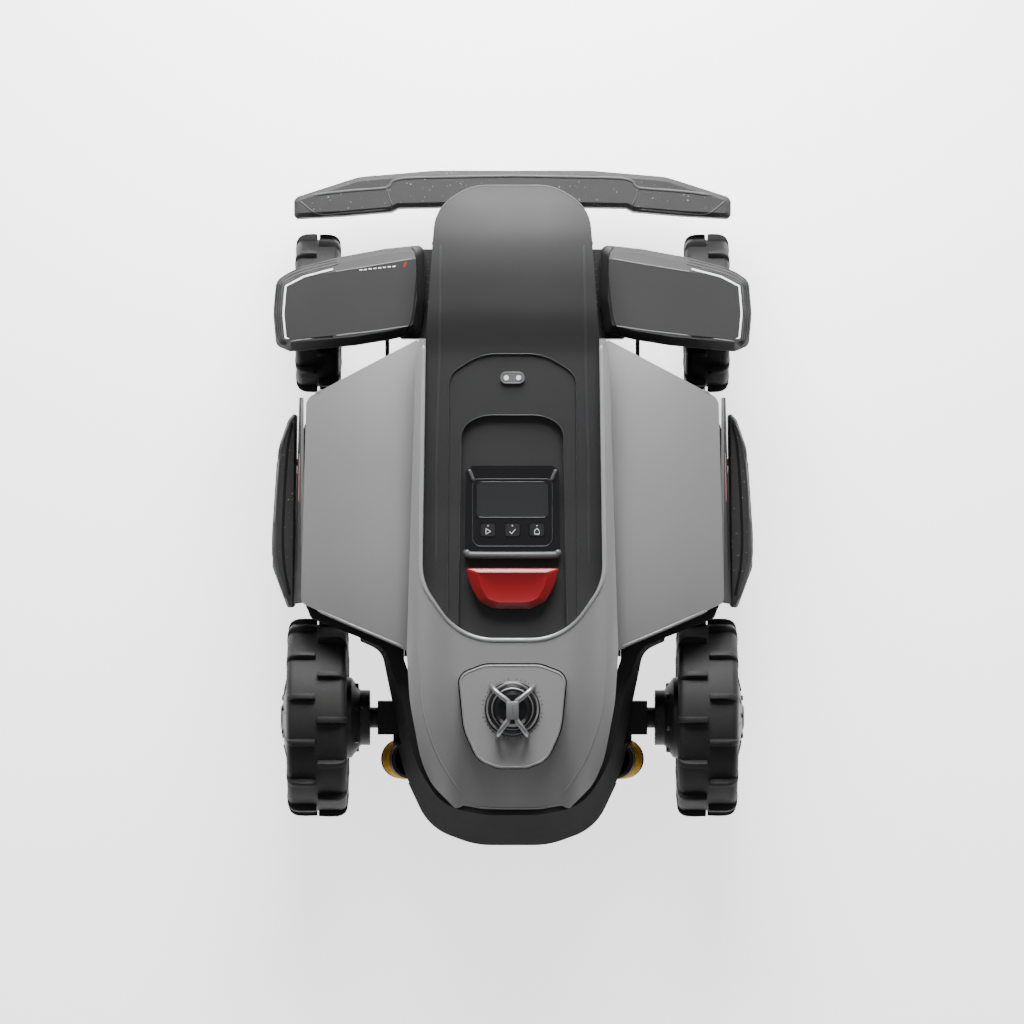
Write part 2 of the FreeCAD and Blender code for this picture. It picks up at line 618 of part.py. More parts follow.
for side in (-1, 1):
    for x, y in [(side_x - 24, disc_y + 96), (side_x - 24, disc_y - 92), (72, tub_front_y + 60), (60, door_y0 - 16)]:
        screws.append(rod(4.5, (side * x, y, belly_z - 2.4), (side * x, y, belly_z)))
save("cover_screws", Part.makeCompound(screws))
motor_low = housing_top_z - 30.0
height_motor = prism([(20, screw_y + 20, 5), (20, screw_y - 20, 5), (-20, screw_y - 20, 5), (-20, screw_y + 20, 5)],
                     motor_low, housing_top_z + 10)
height_motor = height_motor.cut(rod(screw_r + running, (0, screw_y, motor_low - 1), (0, screw_y, motor_low + 14)))
save("height_motor", height_motor)

# ---------------------------------------------------------------- cutting deck
deck_t = 4.0
motor_r, motor_h = 30.0, 38.0
shaft_r = 6.0
deck_plan = mirrored([(40, disc_y + 92, 8), (154, disc_y + 40, 20), (154, disc_y - 40, 20), (40, disc_y - 92, 8)])
deck = prism(deck_plan, deck_plate_z, deck_plate_z + deck_t)
boss_z = deck_plate_z + 14
deck = fused([deck, rod(12, (0, screw_y, deck_plate_z), (0, screw_y, boss_z)),
              rod(10, (0, guide_y, deck_plate_z), (0, guide_y, boss_z))])
deck = deck.cut(rod(screw_r + running, (0, screw_y, 0), (0, screw_y, 300)))
deck = deck.cut(rod(guide_r + running, (0, guide_y, 0), (0, guide_y, 300)))
for side in (-1, 1):
    deck = deck.cut(rod(shaft_r + running, (side * disc_x, disc_y, 0), (side * disc_x, disc_y, 200)))
save("deck_plate", deck)
motor_z = deck_plate_z + deck_t
motor = rod(motor_r, (disc_x, disc_y, motor_z), (disc_x, disc_y, motor_z + motor_h))
motor = motor.cut(rod(shaft_r + running, (disc_x, disc_y, 0), (disc_x, disc_y, motor_z + 22)))
save("disc_motors", both_sides(motor))
screw = rod(screw_r, (0, screw_y, belly_z + 4), (0, screw_y, motor_low + 13.5))
save("height_screw", screw)

disc_r = 72.0
blade_pin_r = disc_r - 10.0
blade_t = 1.2
pin_r = 3.0
for name, side in sides.items():
    centre = Vector(side * disc_x, disc_y, 0)
    disc = turned([(disc_z, 0), (disc_z, disc_r), (disc_z + 2.5, disc_r), (disc_z + 8, 24),
                   (disc_z + 14, 16), (disc_z + 14, 0)], centre, up)
    shaft = rod(shaft_r, (centre.x, disc_y, disc_z + 10), (centre.x, disc_y, deck_plate_z + deck_t + 21))
    pieces = [disc, shaft]
    for i in range(3):
        a = math.radians(90 + 120 * i)
        px, py = centre.x + blade_pin_r * math.cos(a), centre.y + blade_pin_r * math.sin(a)
        pieces.append(rod(pin_r, (px, py, disc_z - 3), (px, py, disc_z + 1)))
        pieces.append(rod(6.0, (px, py, disc_z - 4.5), (px, py, disc_z - 2.5)))
        reach = blade_tip_r - blade_pin_r
        shape = [(reach, 7, 2), (reach, -7, 2), (-9, -7, 5), (-9, 7, 5)]
        turned_shape = [(px + bx * math.cos(a) - by * math.sin(a), py + bx * math.sin(a) + by * math.cos(a), r)
                        for bx, by, r in shape]
        blade = prism(turned_shape, disc_z - 0.6 - blade_t, disc_z - 0.6)
        blade = blade.cut(rod(pin_r + running, (px, py, 0), (px, py, 100)))
        save(f"blade_{name}_{i + 1}", blade)
    save(f"blade_disc_{name}", fused(pieces))

# ---------------------------------------------------------------- bumpers
bumper_low, bumper_high = 68.0, 124.0
bumper_plan = mirrored([
    (87.0, front_end - 1.0, 120.0),
    (170.0, front_end - 8.0, 60.0),
    (241.5, front_end - 31.0, 8.0),
    (241.5, front_end - 53.5, 4.0),
    (186.0, front_end - 50.5, 6.0),
    (134.0, front_end - 46.0, 4.0),
    (126.0, front_end - 42.0, 4.0),
    (78.0, front_end - 41.0, 0.0),
])
bevel = 5.0
bumper = prism(bumper_plan, bumper_low, bumper_high - bevel).fuse(
    tapered(bumper_plan, bumper_high - bevel, inset(bumper_plan, bevel), bumper_high))
bumper = bumper.cut(prism(inset(bumper_plan, 6.0), bumper_low - 1, bumper_high - bevel - 2))
rear_face = front_end - 41.0
for side in (-1, 1):
    x = side * bumper_pin_x
    bumper = bumper.fuse(rod(guide_pin_r, (x, beam_y1 + 6, guide_pin_z), (x, rear_face + 3, guide_pin_z)))
save("front_bumper", bumper.removeSplitter())

side_bumper_y = rear_axle_y + rear_wheel_r + 11.9          # rear end, clear of the rear wheel
side_bumper_plan = [
    (238.5, 107.3, 3.0),
    (248.0, 97.0, 10.0),
    (259.0, 66.0, 60.0),
    (265.5, -30.0, 200.0),
    (265.5, side_bumper_y + 44.6, 14.0),
    (249.0, side_bumper_y, 3.0),
    (241.0, side_bumper_y, 3.0),
]
shoulder = inset(side_bumper_plan, 2.5)
outer = prism(side_bumper_plan, 74.0, 119.0).fuse(tapered(side_bumper_plan, 119.0, shoulder, 124.0))
outer = outer.cut(prism(shoulder, 73.0, 116.0))
for y in (-side_pin_y, side_pin_y - 10):
    outer = outer.fuse(rod(guide_pin_r, (side_x - 10, y, guide_pin_z), (241, y, guide_pin_z)))
for name, side in sides.items():
    save(f"side_bumper_{name}", flip(outer, side))

# ---------------------------------------------------------------- rocking front axle
beam_low, beam_high = rocker_z - 30.0, rocker_z + 26.0
plate_high = plate_low + 8.0
beam = prism([(126, beam_y1, 6), (126, beam_y0, 6), (-126, beam_y0, 6), (-126, beam_y1, 6)], beam_low, beam_high)
beam = beam.cut(box(-120, 120, beam_y0 + 12, beam_y1 - 12, beam_low - 1, beam_high - 12))
beam = fused([beam, box(-14, 14, beam_y0, beam_y1, beam_low, beam_high)]).cut(
    rod(rocker_r + running, (0, beam_y0 - 5, rocker_z), (0, beam_y1 + 5, rocker_z)))
kingpin_r = 9.0
for side in (-1, 1):
    arm = box(side * 118, side * (half_track + 22), front_axle_y - 22, front_axle_y + 22, plate_low, plate_high)
    stay = rod(stay_r, (side * stay_x, front_axle_y, plate_low + 4), (side * stay_x, stay_end_y, stay_z))
    beam = beam.fuse([arm, stay])
for side in (-1, 1):
    beam = beam.cut(rod(kingpin_r + running, (side * half_track, front_axle_y, 0),
                        (side * half_track, front_axle_y, 300)))
save("axle_beam", beam.removeSplitter())

fender_low, fender_side, fender_top = plate_low + 3.0, plate_low + 19.0, plate_low + 37.0
fender_plan = [
    (97.0, front_axle_y + 72.5, 8.0),
    (140.5, front_axle_y + 67.8, 40.0),
    (half_track - 26.0, front_axle_y + 59.0, 20.0),
    (half_track + 17.0, front_axle_y + 48.0, 20.0),
    (half_track + 44.0, front_axle_y + 34.0, 14.0),
    (half_track + 47.2, front_axle_y - 3.5, 60.0),
    (half_track + 44.0, front_axle_y - 38.0, 8.0),
    (half_track + 29.0, front_axle_y - 44.5, 10.0),
    (half_track - 42.2, front_axle_y - 37.8, 60.0),
    (132.4, front_axle_y - 31.2, 60.0),
    (101.4, front_axle_y - 23.5, 4.0),
    (95.5, front_axle_y + 12.0, 60.0),
]
lip = 9.0
fender_roof = 12.0
fender = prism(fender_plan, fender_low, fender_side).fuse(
    tapered(fender_plan, fender_side, inset(fender_plan, lip), fender_top))
facet_line = Vector(half_track - 22.0, front_axle_y + 42.5, 0), Vector(96.0, front_axle_y + 58.0, 0)
along = (facet_line[1] - facet_line[0]).normalize()
forward = Vector(0, 1, 0)
start = facet_line[0] - along * 14.0 + Vector(0, 0, fender_top)
wedge = Part.Face(Part.makePolygon([start, start + forward * 40 - up * 22, start + forward * 40 + up * 5,
                                    start + up * 5, start]))
fender = fender.cut(wedge.extrude(along * (half_track - 90.0)))
fender = fender.cut(prism(inset(fender_plan, wall), fender_low - 1, fender_side))
fender = fender.cut(prism(inset(fender_plan, lip + wall), fender_side - 1, fender_top - fender_roof))
fender = fender.cut(box(90, 130, beam_y0 - 8, beam_y1 + 8, fender_low - 2, beam_high + 0.01))
fender = fender.cut(box(118, half_track + 24, front_axle_y - 24, front_axle_y + 24, fender_low - 1, plate_high))
lamp_zone = box(half_track - 19, half_track + 55, front_axle_y - 31, front_axle_y + 80, fender_top - 2.2, fender_top + 1)
lamp_plan = inset(fender_plan, lip + 1.5)
lamp = prism(lamp_plan, fender_top - 2.0, fender_top + 0.3).cut(
    prism(inset(lamp_plan, 2.0), fender_top - 3, fender_top + 1)).common(lamp_zone)
fender = fender.cut(lamp)
fender = max(fender.Solids, key=lambda s: s.Volume)
lamp = max(lamp.Solids, key=lambda s: s.Volume)
for name, side in sides.items():
    save(f"fender_{name}", flip(fender, side))
save("fender_lamps", both_sides(lamp))
steer = rod(25, (half_track, front_axle_y, plate_high), (half_track, front_axle_y, fender_top - fender_roof))
steer = steer.cut(rod(kingpin_r + running, (half_track, front_axle_y, 0),
                      (half_track, front_axle_y, plate_high + 12)))
save("steering_motors", both_sides(steer))


# ---------------------------------------------------------------- wheels
def tyre(r, width, bead_r, lug_h, lugs, lug_w, x):
    """A tyre with two staggered columns of cross bars, its middle at x on the +X side."""
    skin = r - lug_h
    half = width / 2
    carcass = turned([(-half + 3, bead_r), (half - 3, bead_r), (half - 1, skin - 14), (half - 4, skin - 3),
                      (half - 9, skin), (-half + 9, skin), (-half + 4, skin - 3), (-half + 1, skin - 14)],
                     Vector(x, 0, r))
    bars = []
    for i in range(lugs):
        for column in (-1, 1):
            bar = box(x + column * 1.0, x + column * half, -lug_w / 2, lug_w / 2, r + skin - 7, 2 * r)
            turn = 360.0 * (i + (0.0 if column > 0 else 0.5)) / lugs + 180.0
            bar.rotate(Vector(x, 0, r), Vector(1, 0, 0), turn)
            bars.append(bar)
    return carcass, bars


def round_edge(bars, x, r, width):
    """The bars cut to a tread whose shoulders fall away."""
    half = width / 2
    tread = turned([(-half, 0), (half, 0), (half, r - 9), (half - 5, r - 1.5), (half - 12, r), (-half + 12, r),
                    (-half + 5, r - 1.5), (-half, r - 9)], Vector(x, 0, r))
    return [b.common(tread) for b in bars]


front_bead, rear_bead = 56.0, 72.0
front_hub_r, rear_hub_r = 40.0, 46.0
stub_r = 8.0
wheels = {
    "front": (front_axle_y, front_wheel_r, front_tyre_w, front_bead, 11, 6.5, 5.5, front_hub_r),
    "rear": (rear_axle_y, rear_wheel_r, rear_tyre_w, rear_bead, 13, 7.0, 7.7, rear_hub_r),
}
hub_motors = {}
for place, (y, r, width, bead, lugs, lug_w, bulge, hub_r) in wheels.items():
    half = width / 2
    carcass, bars = tyre(r, width, bead, 7.0, lugs, lug_w, half_track)
    rubber = fused([carcass] + round_edge(bars, half_track, r, width))
    rubber.translate(Vector(0, y, 0))
    axle = Vector(half_track, y, r)
    web = half - 14.0
    rim = turned([(-half + 2, bead - 5), (web - 6, hub_r + 3), (web - 4, stub_r + running), (web + 5, stub_r + running),
                  (web + 5, 0), (half + bulge - 2.5, 0), (half + bulge - 2.5, 18), (half + bulge - 4, 30),
                  (half - 2, bead - 14), (half - 2, bead), (-half + 2, bead)], axle)
    cap = turned([(half + bulge - 2.5, 0), (half + bulge, 0), (half + bulge, 12), (half + bulge - 2.5, 16)], axle)
    if place == "front":
        motor = turned([(-half - 9, 0), (-half - 9, 26), (-half - 2, 30), (-half + 4, hub_r), (web - 10, hub_r),
                        (web - 8, stub_r), (web + 4, stub_r), (web + 4, 0)], axle)
    else:
        motor = turned([(-half - 32.5, 0), (-half - 32.5, 11.5), (-half - 24, 11.5), (-half - 24, 30.5),
                        (-half - 13.5, 30.5), (-half - 3.8, 44), (-half + 4, hub_r), (web - 10, hub_r),
                        (web - 8, stub_r), (web + 4, stub_r), (web + 4, 0)], axle)
    hub_motors[place] = motor
    for name, side in sides.items():
        save(f"{place}_tyre_{name}", flip(rubber, side))
        save(f"{place}_rim_{name}", flip(fused([rim, cap]), side))

# ---------------------------------------------------------------- knuckles and trailing arms
bridge_low = 2 * front_wheel_r + 2.0
bridge_high = plate_low - gap
leg_x1 = half_track - front_tyre_w / 2 - 9.0
knuckle = fused([
    box(leg_x1 - 10, half_track + 14, front_axle_y - 13, front_axle_y + 13, bridge_low, bridge_high),
    box(leg_x1 - 10, leg_x1, front_axle_y - 13, front_axle_y + 13, front_wheel_r, bridge_high),
    rod(20, (leg_x1 - 10, front_axle_y, front_wheel_r), (leg_x1, front_axle_y, front_wheel_r)),
    rod(kingpin_r, (half_track, front_axle_y, bridge_low + 1), (half_track, front_axle_y, plate_high + 11)),
    hub_motors["front"],
])
arm_x0, arm_x1 = arm_x - arm_t / 2, arm_x + arm_t / 2
block_x1 = half_track - rear_tyre_w / 2 - 32.5
arm = fused([
    rod(15, (arm_x0, arm_pivot.y, arm_pivot.z), (arm_x1, arm_pivot.y, arm_pivot.z)),
    box(arm_x0, arm_x1, rear_axle_y - 24, arm_pivot.y, rear_wheel_r - 12, rear_wheel_r + 6),
    box(arm_x0, block_x1, rear_axle_y - 18.5, rear_axle_y + 18.5, rear_wheel_r - 18, rear_wheel_r + 17),
    box(arm_x0, arm_x1, spring_y + 4, rear_axle_y - 12, 66, rear_wheel_r - 6),
    rod(spring_r - 0.5, (spring_foot.x, spring_y, 66), (spring_foot.x, spring_y, 82)),
    hub_motors["rear"],
])
arm = arm.cut(rod(pivot_r + running, (90, arm_pivot.y, arm_pivot.z), (160, arm_pivot.y, arm_pivot.z)))
arm = arm.cut(rod(spring_r + 0.6, tuple(spring_foot - spring_axis * 0.3), tuple(spring_top + spring_axis * 20)))
spring = rod(spring_r - 2.0, tuple(spring_foot), tuple(spring_top - spring_axis * 8))
spring = spring.cut(rod(spring_r - 9.0, tuple(spring_foot - spring_axis), tuple(spring_top)))
cap_top = rod(spring_r - 1.6, tuple(spring_top - spring_axis * 8), tuple(spring_top))
cap_top = cap_top.cut(tub)
for name, side in sides.items():
    save(f"knuckle_{name}", flip(knuckle, side))
    save(f"rear_arm_{name}", flip(arm, side))
    save(f"spring_{name}", flip(spring, side))
save("spring_caps", both_sides(max(cap_top.Solids, key=lambda s: s.Volume)))
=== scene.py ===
import json
import math

import bmesh
import bpy
from mathutils import Matrix, Vector
from mathutils.bvhtree import BVHTree


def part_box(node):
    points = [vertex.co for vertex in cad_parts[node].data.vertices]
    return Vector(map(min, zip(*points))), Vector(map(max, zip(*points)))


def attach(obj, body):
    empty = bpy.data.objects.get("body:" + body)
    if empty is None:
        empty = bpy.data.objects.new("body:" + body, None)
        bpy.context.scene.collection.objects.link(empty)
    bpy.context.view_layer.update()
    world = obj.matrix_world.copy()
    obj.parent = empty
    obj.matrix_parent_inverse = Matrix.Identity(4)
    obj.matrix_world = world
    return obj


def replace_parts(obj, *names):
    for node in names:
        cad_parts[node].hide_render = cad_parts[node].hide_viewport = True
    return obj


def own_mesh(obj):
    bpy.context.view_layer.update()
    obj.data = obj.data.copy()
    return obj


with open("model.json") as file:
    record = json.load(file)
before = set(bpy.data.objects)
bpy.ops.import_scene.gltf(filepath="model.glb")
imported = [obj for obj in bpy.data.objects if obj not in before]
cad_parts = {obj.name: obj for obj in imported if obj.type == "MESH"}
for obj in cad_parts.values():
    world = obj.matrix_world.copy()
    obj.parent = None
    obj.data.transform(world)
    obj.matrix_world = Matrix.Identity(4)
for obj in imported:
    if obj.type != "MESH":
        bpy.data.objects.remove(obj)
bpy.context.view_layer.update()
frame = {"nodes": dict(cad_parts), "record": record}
nodes = frame["nodes"]
slots = {part["node"]: part["material_slot"] for part in frame["record"]["subparts"]}
sides = {"left": -1, "right": 1}

# ---------------------------------------------------------------- tub and housing
# The tub, its skirted housing and the battery door are injection moulded in dark plastic.  Their tools leave a
# fine spark-eroded grain, and a garden leaves a little dust that lies on whatever faces up.
grain_group = bpy.data.node_groups.new("moulded_grain", "ShaderNodeTree")
for label, kind, value in (("Colour", "NodeSocketColor", (0.1, 0.1, 0.1, 1)), ("Grain size", "NodeSocketFloat", 0.8),
                           ("Speckle", "NodeSocketFloat", 0.2), ("Dust", "NodeSocketFloat", 0.1),
                           ("Roughness", "NodeSocketFloat", 0.5)):
    socket = grain_group.interface.new_socket(label, in_out="INPUT", socket_type=kind)
    socket.default_value = value
for label, kind in (("Colour", "NodeSocketColor"), ("Roughness", "NodeSocketFloat"),
                    ("Height", "NodeSocketFloat")):
    grain_group.interface.new_socket(label, in_out="OUTPUT", socket_type=kind)


def wire(tree, kind, links=(), **settings):
    """Adds a shader node, sets its fields and sockets, and feeds the named inputs."""
    node = tree.nodes.new(kind)
    for key, value in settings.items():
        if hasattr(node, key):
            setattr(node, key, value)
        else:
            node.inputs[key.replace("_", " ")].default_value = value
    for key, source in links:
        tree.links.new(source, node.inputs[key])
    return node


def maths(tree, operation, *terms):
    """Adds a maths node whose terms are numbers or the outputs that feed them, and gives its output."""
    node = tree.nodes.new("ShaderNodeMath")
    node.operation = operation
    for i, term in enumerate(terms):
        if isinstance(term, bpy.types.NodeSocket):
            tree.links.new(term, node.inputs[i])
        else:
            node.inputs[i].default_value = term
    return node.outputs[0]


fleck_from = 0.90                       # grains above this share are light flecks
fleck_colour = (0.55, 0.56, 0.58, 1)
dust_colour = (0.42, 0.40, 0.36, 1)
dust_slope = 0.2                        # dust settles where the normal points up more than this
gloss_spread = 0.22                     # how much the roughness wanders over a cover
given = grain_group.nodes.new("NodeGroupInput")
place = wire(grain_group, "ShaderNodeTexCoord").outputs["Object"]
per_metre = maths(grain_group, "DIVIDE", 1000.0, given.outputs["Grain size"])
fine = wire(grain_group, "ShaderNodeTexVoronoi", [("Vector", place), ("Scale", per_metre)])
broad = wire(grain_group, "ShaderNodeTexNoise", [("Vector", place)], Scale=14.0, Detail=6.0, Roughness=0.6)
fleck = wire(grain_group, "ShaderNodeMapRange", [("Value", fine.outputs["Color"])], From_Min=fleck_from)
fleck_share = maths(grain_group, "MULTIPLY", fleck.outputs[0], given.outputs["Speckle"])
lighter = wire(grain_group, "ShaderNodeMix", [(0, fleck_share), (6, given.outputs["Colour"])], data_type="RGBA")
lighter.inputs[7].default_value = fleck_colour
normal = wire(grain_group, "ShaderNodeNewGeometry").outputs["Normal"]
facing = wire(grain_group, "ShaderNodeSeparateXYZ", [(0, normal)])
settled = wire(grain_group, "ShaderNodeMapRange", [("Value", facing.outputs[2])], From_Min=dust_slope)
patchy = maths(grain_group, "MULTIPLY", settled.outputs[0], broad.outputs["Fac"])
dust_share = maths(grain_group, "MULTIPLY", patchy, given.outputs["Dust"])
dusty = wire(grain_group, "ShaderNodeMix", [(0, dust_share), (6, lighter.outputs[2])], data_type="RGBA")
dusty.inputs[7].default_value = dust_colour
uneven = maths(grain_group, "MULTIPLY_ADD", broad.outputs["Fac"], gloss_spread, given.outputs["Roughness"])
result = grain_group.nodes.new("NodeGroupOutput")
for label, source in (("Colour", dusty.outputs[2]), ("Roughness", uneven), ("Height", fine.outputs["Distance"])):
    grain_group.links.new(source, result.inputs[label])

finishes = {}


def moulded(name, colour, rough=0.42, grain=0.8, depth=0.08, speckle=0.05, dust=0.05, coat=0.0, metal=0.0,
            shine=0.35):
    """Makes a moulded or coated finish, with its grain in millimetres, for the CAD nodes whose slot has its name.

    A finish that only added pieces wear goes on no CAD node.
    """
    material = bpy.data.materials.new(name)
    material.use_nodes = True
    tree = material.node_tree
    shader = tree.nodes["Principled BSDF"]
    grain_node = wire(tree, "ShaderNodeGroup", node_tree=grain_group)
    for label, value in (("Colour", (*colour, 1)), ("Grain size", grain), ("Speckle", speckle), ("Dust", dust),
                         ("Roughness", rough)):
        grain_node.inputs[label].default_value = value
    bump = wire(tree, "ShaderNodeBump", [("Height", grain_node.outputs["Height"])], Strength=depth, Distance=0.0006)
    tree.links.new(grain_node.outputs["Colour"], shader.inputs["Base Color"])
    tree.links.new(grain_node.outputs["Roughness"], shader.inputs["Roughness"])
    tree.links.new(bump.outputs[0], shader.inputs["Normal"])
    for label, value in (("Coat Weight", coat), ("Metallic", metal), ("Specular IOR Level", shine)):
        shader.inputs[label].default_value = value
    finishes[name] = material
    for node_name, node_slot in slots.items():
        if node_slot == name:
            nodes[node_name].data.materials.clear()
            nodes[node_name].data.materials.append(material)


moulded("housing_dark", (0.026, 0.026, 0.0265), 0.75, 1.0, 0.10, 0.04, 0.01, shine=0.06)

# ---------------------------------------------------------------- inside the body
# Under the covers lie a sleeved battery, a lacquered main board and motors, beam, arms and knuckles of cast
# metal.  The lead screw, the cover screws and the blades are plain steel, and the charging contacts are plated.
moulded("battery_blue", (0.02, 0.05, 0.14), 0.35, 1.0, 0.05, 0.0, 0.0)
moulded("board_green", (0.015, 0.10, 0.04), 0.3, 0.8, 0.05, 0.1, 0.0)
moulded("cast_dark", (0.018, 0.018, 0.019), 0.38, 1.3, 0.20, 0.04, 0.02, metal=0.2)
moulded("steel", (0.50, 0.50, 0.50), 0.25, 1.2, 0.05, 0.0, 0.02, metal=1.0)
moulded("contact_metal", (0.90, 0.89, 0.87), 0.35, 1.2, 0.02, 0.0, 0.0, metal=0.4)

# ---------------------------------------------------------------- tyres
# Each tyre is a smooth moulded carcass with two staggered columns of cross bars that wrap over the shoulder.
# The sidewall carries one thin rib and the bead ring.
moulded("tyre_rubber", (0.0085, 0.0085, 0.009), 0.50, 1.2, 0.15, 0.03, 0.03, shine=0.25)
mm = 0.001


def revolved(profile, turns=96):
    """A closed body of revolution about +Z from (along, radius) points in metres."""
    mesh = bmesh.new()
    rings = []
    for i in range(turns):
        a = 2 * math.pi * i / turns
        rings.append([mesh.verts.new((r * math.cos(a), r * math.sin(a), z)) for z, r in profile])
    n = len(profile)
    for i in range(turns):
        here, there = rings[i], rings[(i + 1) % turns]
        for j in range(n):
            k = (j + 1) % n
            mesh.faces.new((here[j], there[j], there[k], here[k]))
    bmesh.ops.remove_doubles(mesh, verts=mesh.verts, dist=1e-7)
    bmesh.ops.recalc_face_normals(mesh, faces=mesh.faces)
    return mesh


def object_of(name, mesh):
    """Puts a bmesh in the scene as an object at the origin."""
    data = bpy.data.meshes.new(name)
    mesh.to_mesh(data)
    mesh.free()
    thing = bpy.data.objects.new(name, data)
    bpy.context.scene.collection.objects.link(thing)
    return thing


def bevelled(thing, width):
    """Breaks the object's sharp edges with a narrow rounding."""
    edge = thing.modifiers.new("bevel", "BEVEL")
    edge.width = width
    edge.segments = 2
    edge.limit_method = "ANGLE"
    edge.angle_limit = math.radians(30)


def made_plain(thing):
    """Turns what the object's modifiers make into its own mesh."""
    thing.data = bpy.data.meshes.new_from_object(thing.evaluated_get(bpy.context.evaluated_depsgraph_get()))
    thing.modifiers.clear()


def handed_over(thing, body, smooth_angle):
    """Shades all but the sharp edges smooth, and gives the object its body."""
    for face in thing.data.polygons:
        face.use_smooth = True
    thing.data.set_sharp_from_angle(angle=math.radians(smooth_angle))
    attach(thing, body)


def piece(name, mesh, finish, body, smooth_angle=35.0, bevel=0.0, move=None):
    """Turns a bmesh into an object that wears a finish and moves with a body."""
    thing = object_of(name, mesh)
    if move is not None:
        thing.data.transform(move)
    thing.data.materials.append(finishes[finish])
    if bevel:
        bevelled(thing, bevel)
        made_plain(thing)
    handed_over(thing, body, smooth_angle)
    return thing


def ring_tree():
    """Copies the piece it is given round a circle about +Z: count, radius, first angle and material."""
    tree = bpy.data.node_groups.new("ring_of_pieces", "GeometryNodeTree")
    for label, kind in (("Piece", "NodeSocketGeometry"), ("Count", "NodeSocketInt"), ("Radius", "NodeSocketFloat"),
                        ("First angle", "NodeSocketFloat"), ("Finish", "NodeSocketMaterial")):
        tree.interface.new_socket(label, in_out="INPUT", socket_type=kind)
    tree.interface.new_socket("Ring", in_out="OUTPUT", socket_type="NodeSocketGeometry")
    given = tree.nodes.new("NodeGroupInput").outputs
    circle = wire(tree, "GeometryNodeMeshCircle", [("Vertices", given["Count"]), ("Radius", given["Radius"])])
    index = wire(tree, "GeometryNodeInputIndex")
    share = maths(tree, "DIVIDE", index.outputs[0], given["Count"])
    angle = maths(tree, "MULTIPLY", share, 2 * math.pi)
    turn = wire(tree, "ShaderNodeCombineXYZ", [(2, angle)])
    copies = wire(tree, "GeometryNodeInstanceOnPoints",
                  [("Points", circle.outputs[0]), ("Instance", given["Piece"]), ("Rotation", turn.outputs[0])])
    first = wire(tree, "ShaderNodeCombineXYZ", [(2, given["First angle"])])
    turned = wire(tree, "GeometryNodeTransform", [("Geometry", copies.outputs[0]), ("Rotation", first.outputs[0])])
    real = wire(tree, "GeometryNodeRealizeInstances", [("Geometry", turned.outputs[0])])
    dressed = wire(tree, "GeometryNodeSetMaterial", [("Geometry", real.outputs[0]), ("Material", given["Finish"])])
    out = tree.nodes.new("NodeGroupOutput")
    tree.links.new(dressed.outputs[0], out.inputs[0])
    return tree


rings = ring_tree()


def ring_of(name, mesh, count, radius, first, finish, body, move, bevel=0.0, smooth_angle=35.0):
    """A ring of like pieces round an axis; mesh is one piece whose outward direction is +X."""
    thing = object_of(name, mesh)
    if bevel:
        bevelled(thing, bevel)
    copies = thing.modifiers.new("ring", "NODES")
    copies.node_group = rings
    ids = {item.name: item.identifier for item in rings.interface.items_tree if item.in_out == "INPUT"}
    for label, value in (("Count", count), ("Radius", radius), ("First angle", first),
                         ("Finish", finishes[finish])):
        copies[ids[label]] = value
    made_plain(thing)
    thing.data.transform(move)
    handed_over(thing, body, smooth_angle)


def loft(sections, close=True):
    """A body through like sections, each a list of points, closed at both ends."""
    mesh = bmesh.new()
    loops = [[mesh.verts.new(p) for p in section] for section in sections]
    n = len(loops[0])
    for a, b in zip(loops, loops[1:]):
        for i in range(n):
            mesh.faces.new((a[i], a[(i + 1) % n], b[(i + 1) % n], b[i]))
    if close:
        mesh.faces.new(loops[0][::-1])
        mesh.faces.new(loops[-1])
    bmesh.ops.recalc_face_normals(mesh, faces=mesh.faces)
    return mesh


def scaled(points):
    """The points, given in millimetres, in metres."""
    return [tuple(c * mm for c in p) for p in points]


def wheel_place(node, side):
    """The matrix that lays a body turned about +Z along the axle, +Z pointing away from the mower."""
    low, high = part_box(node)
    return Matrix.Translation((low + high) / 2) @ Matrix.Rotation(math.pi / 2 * side, 4, "Y")


tread_deep = 7.0
shoulder_r = 8.0
shoulder_w = 7.0
bar_flare = 1.35                        # a bar's root is this much wider than its top
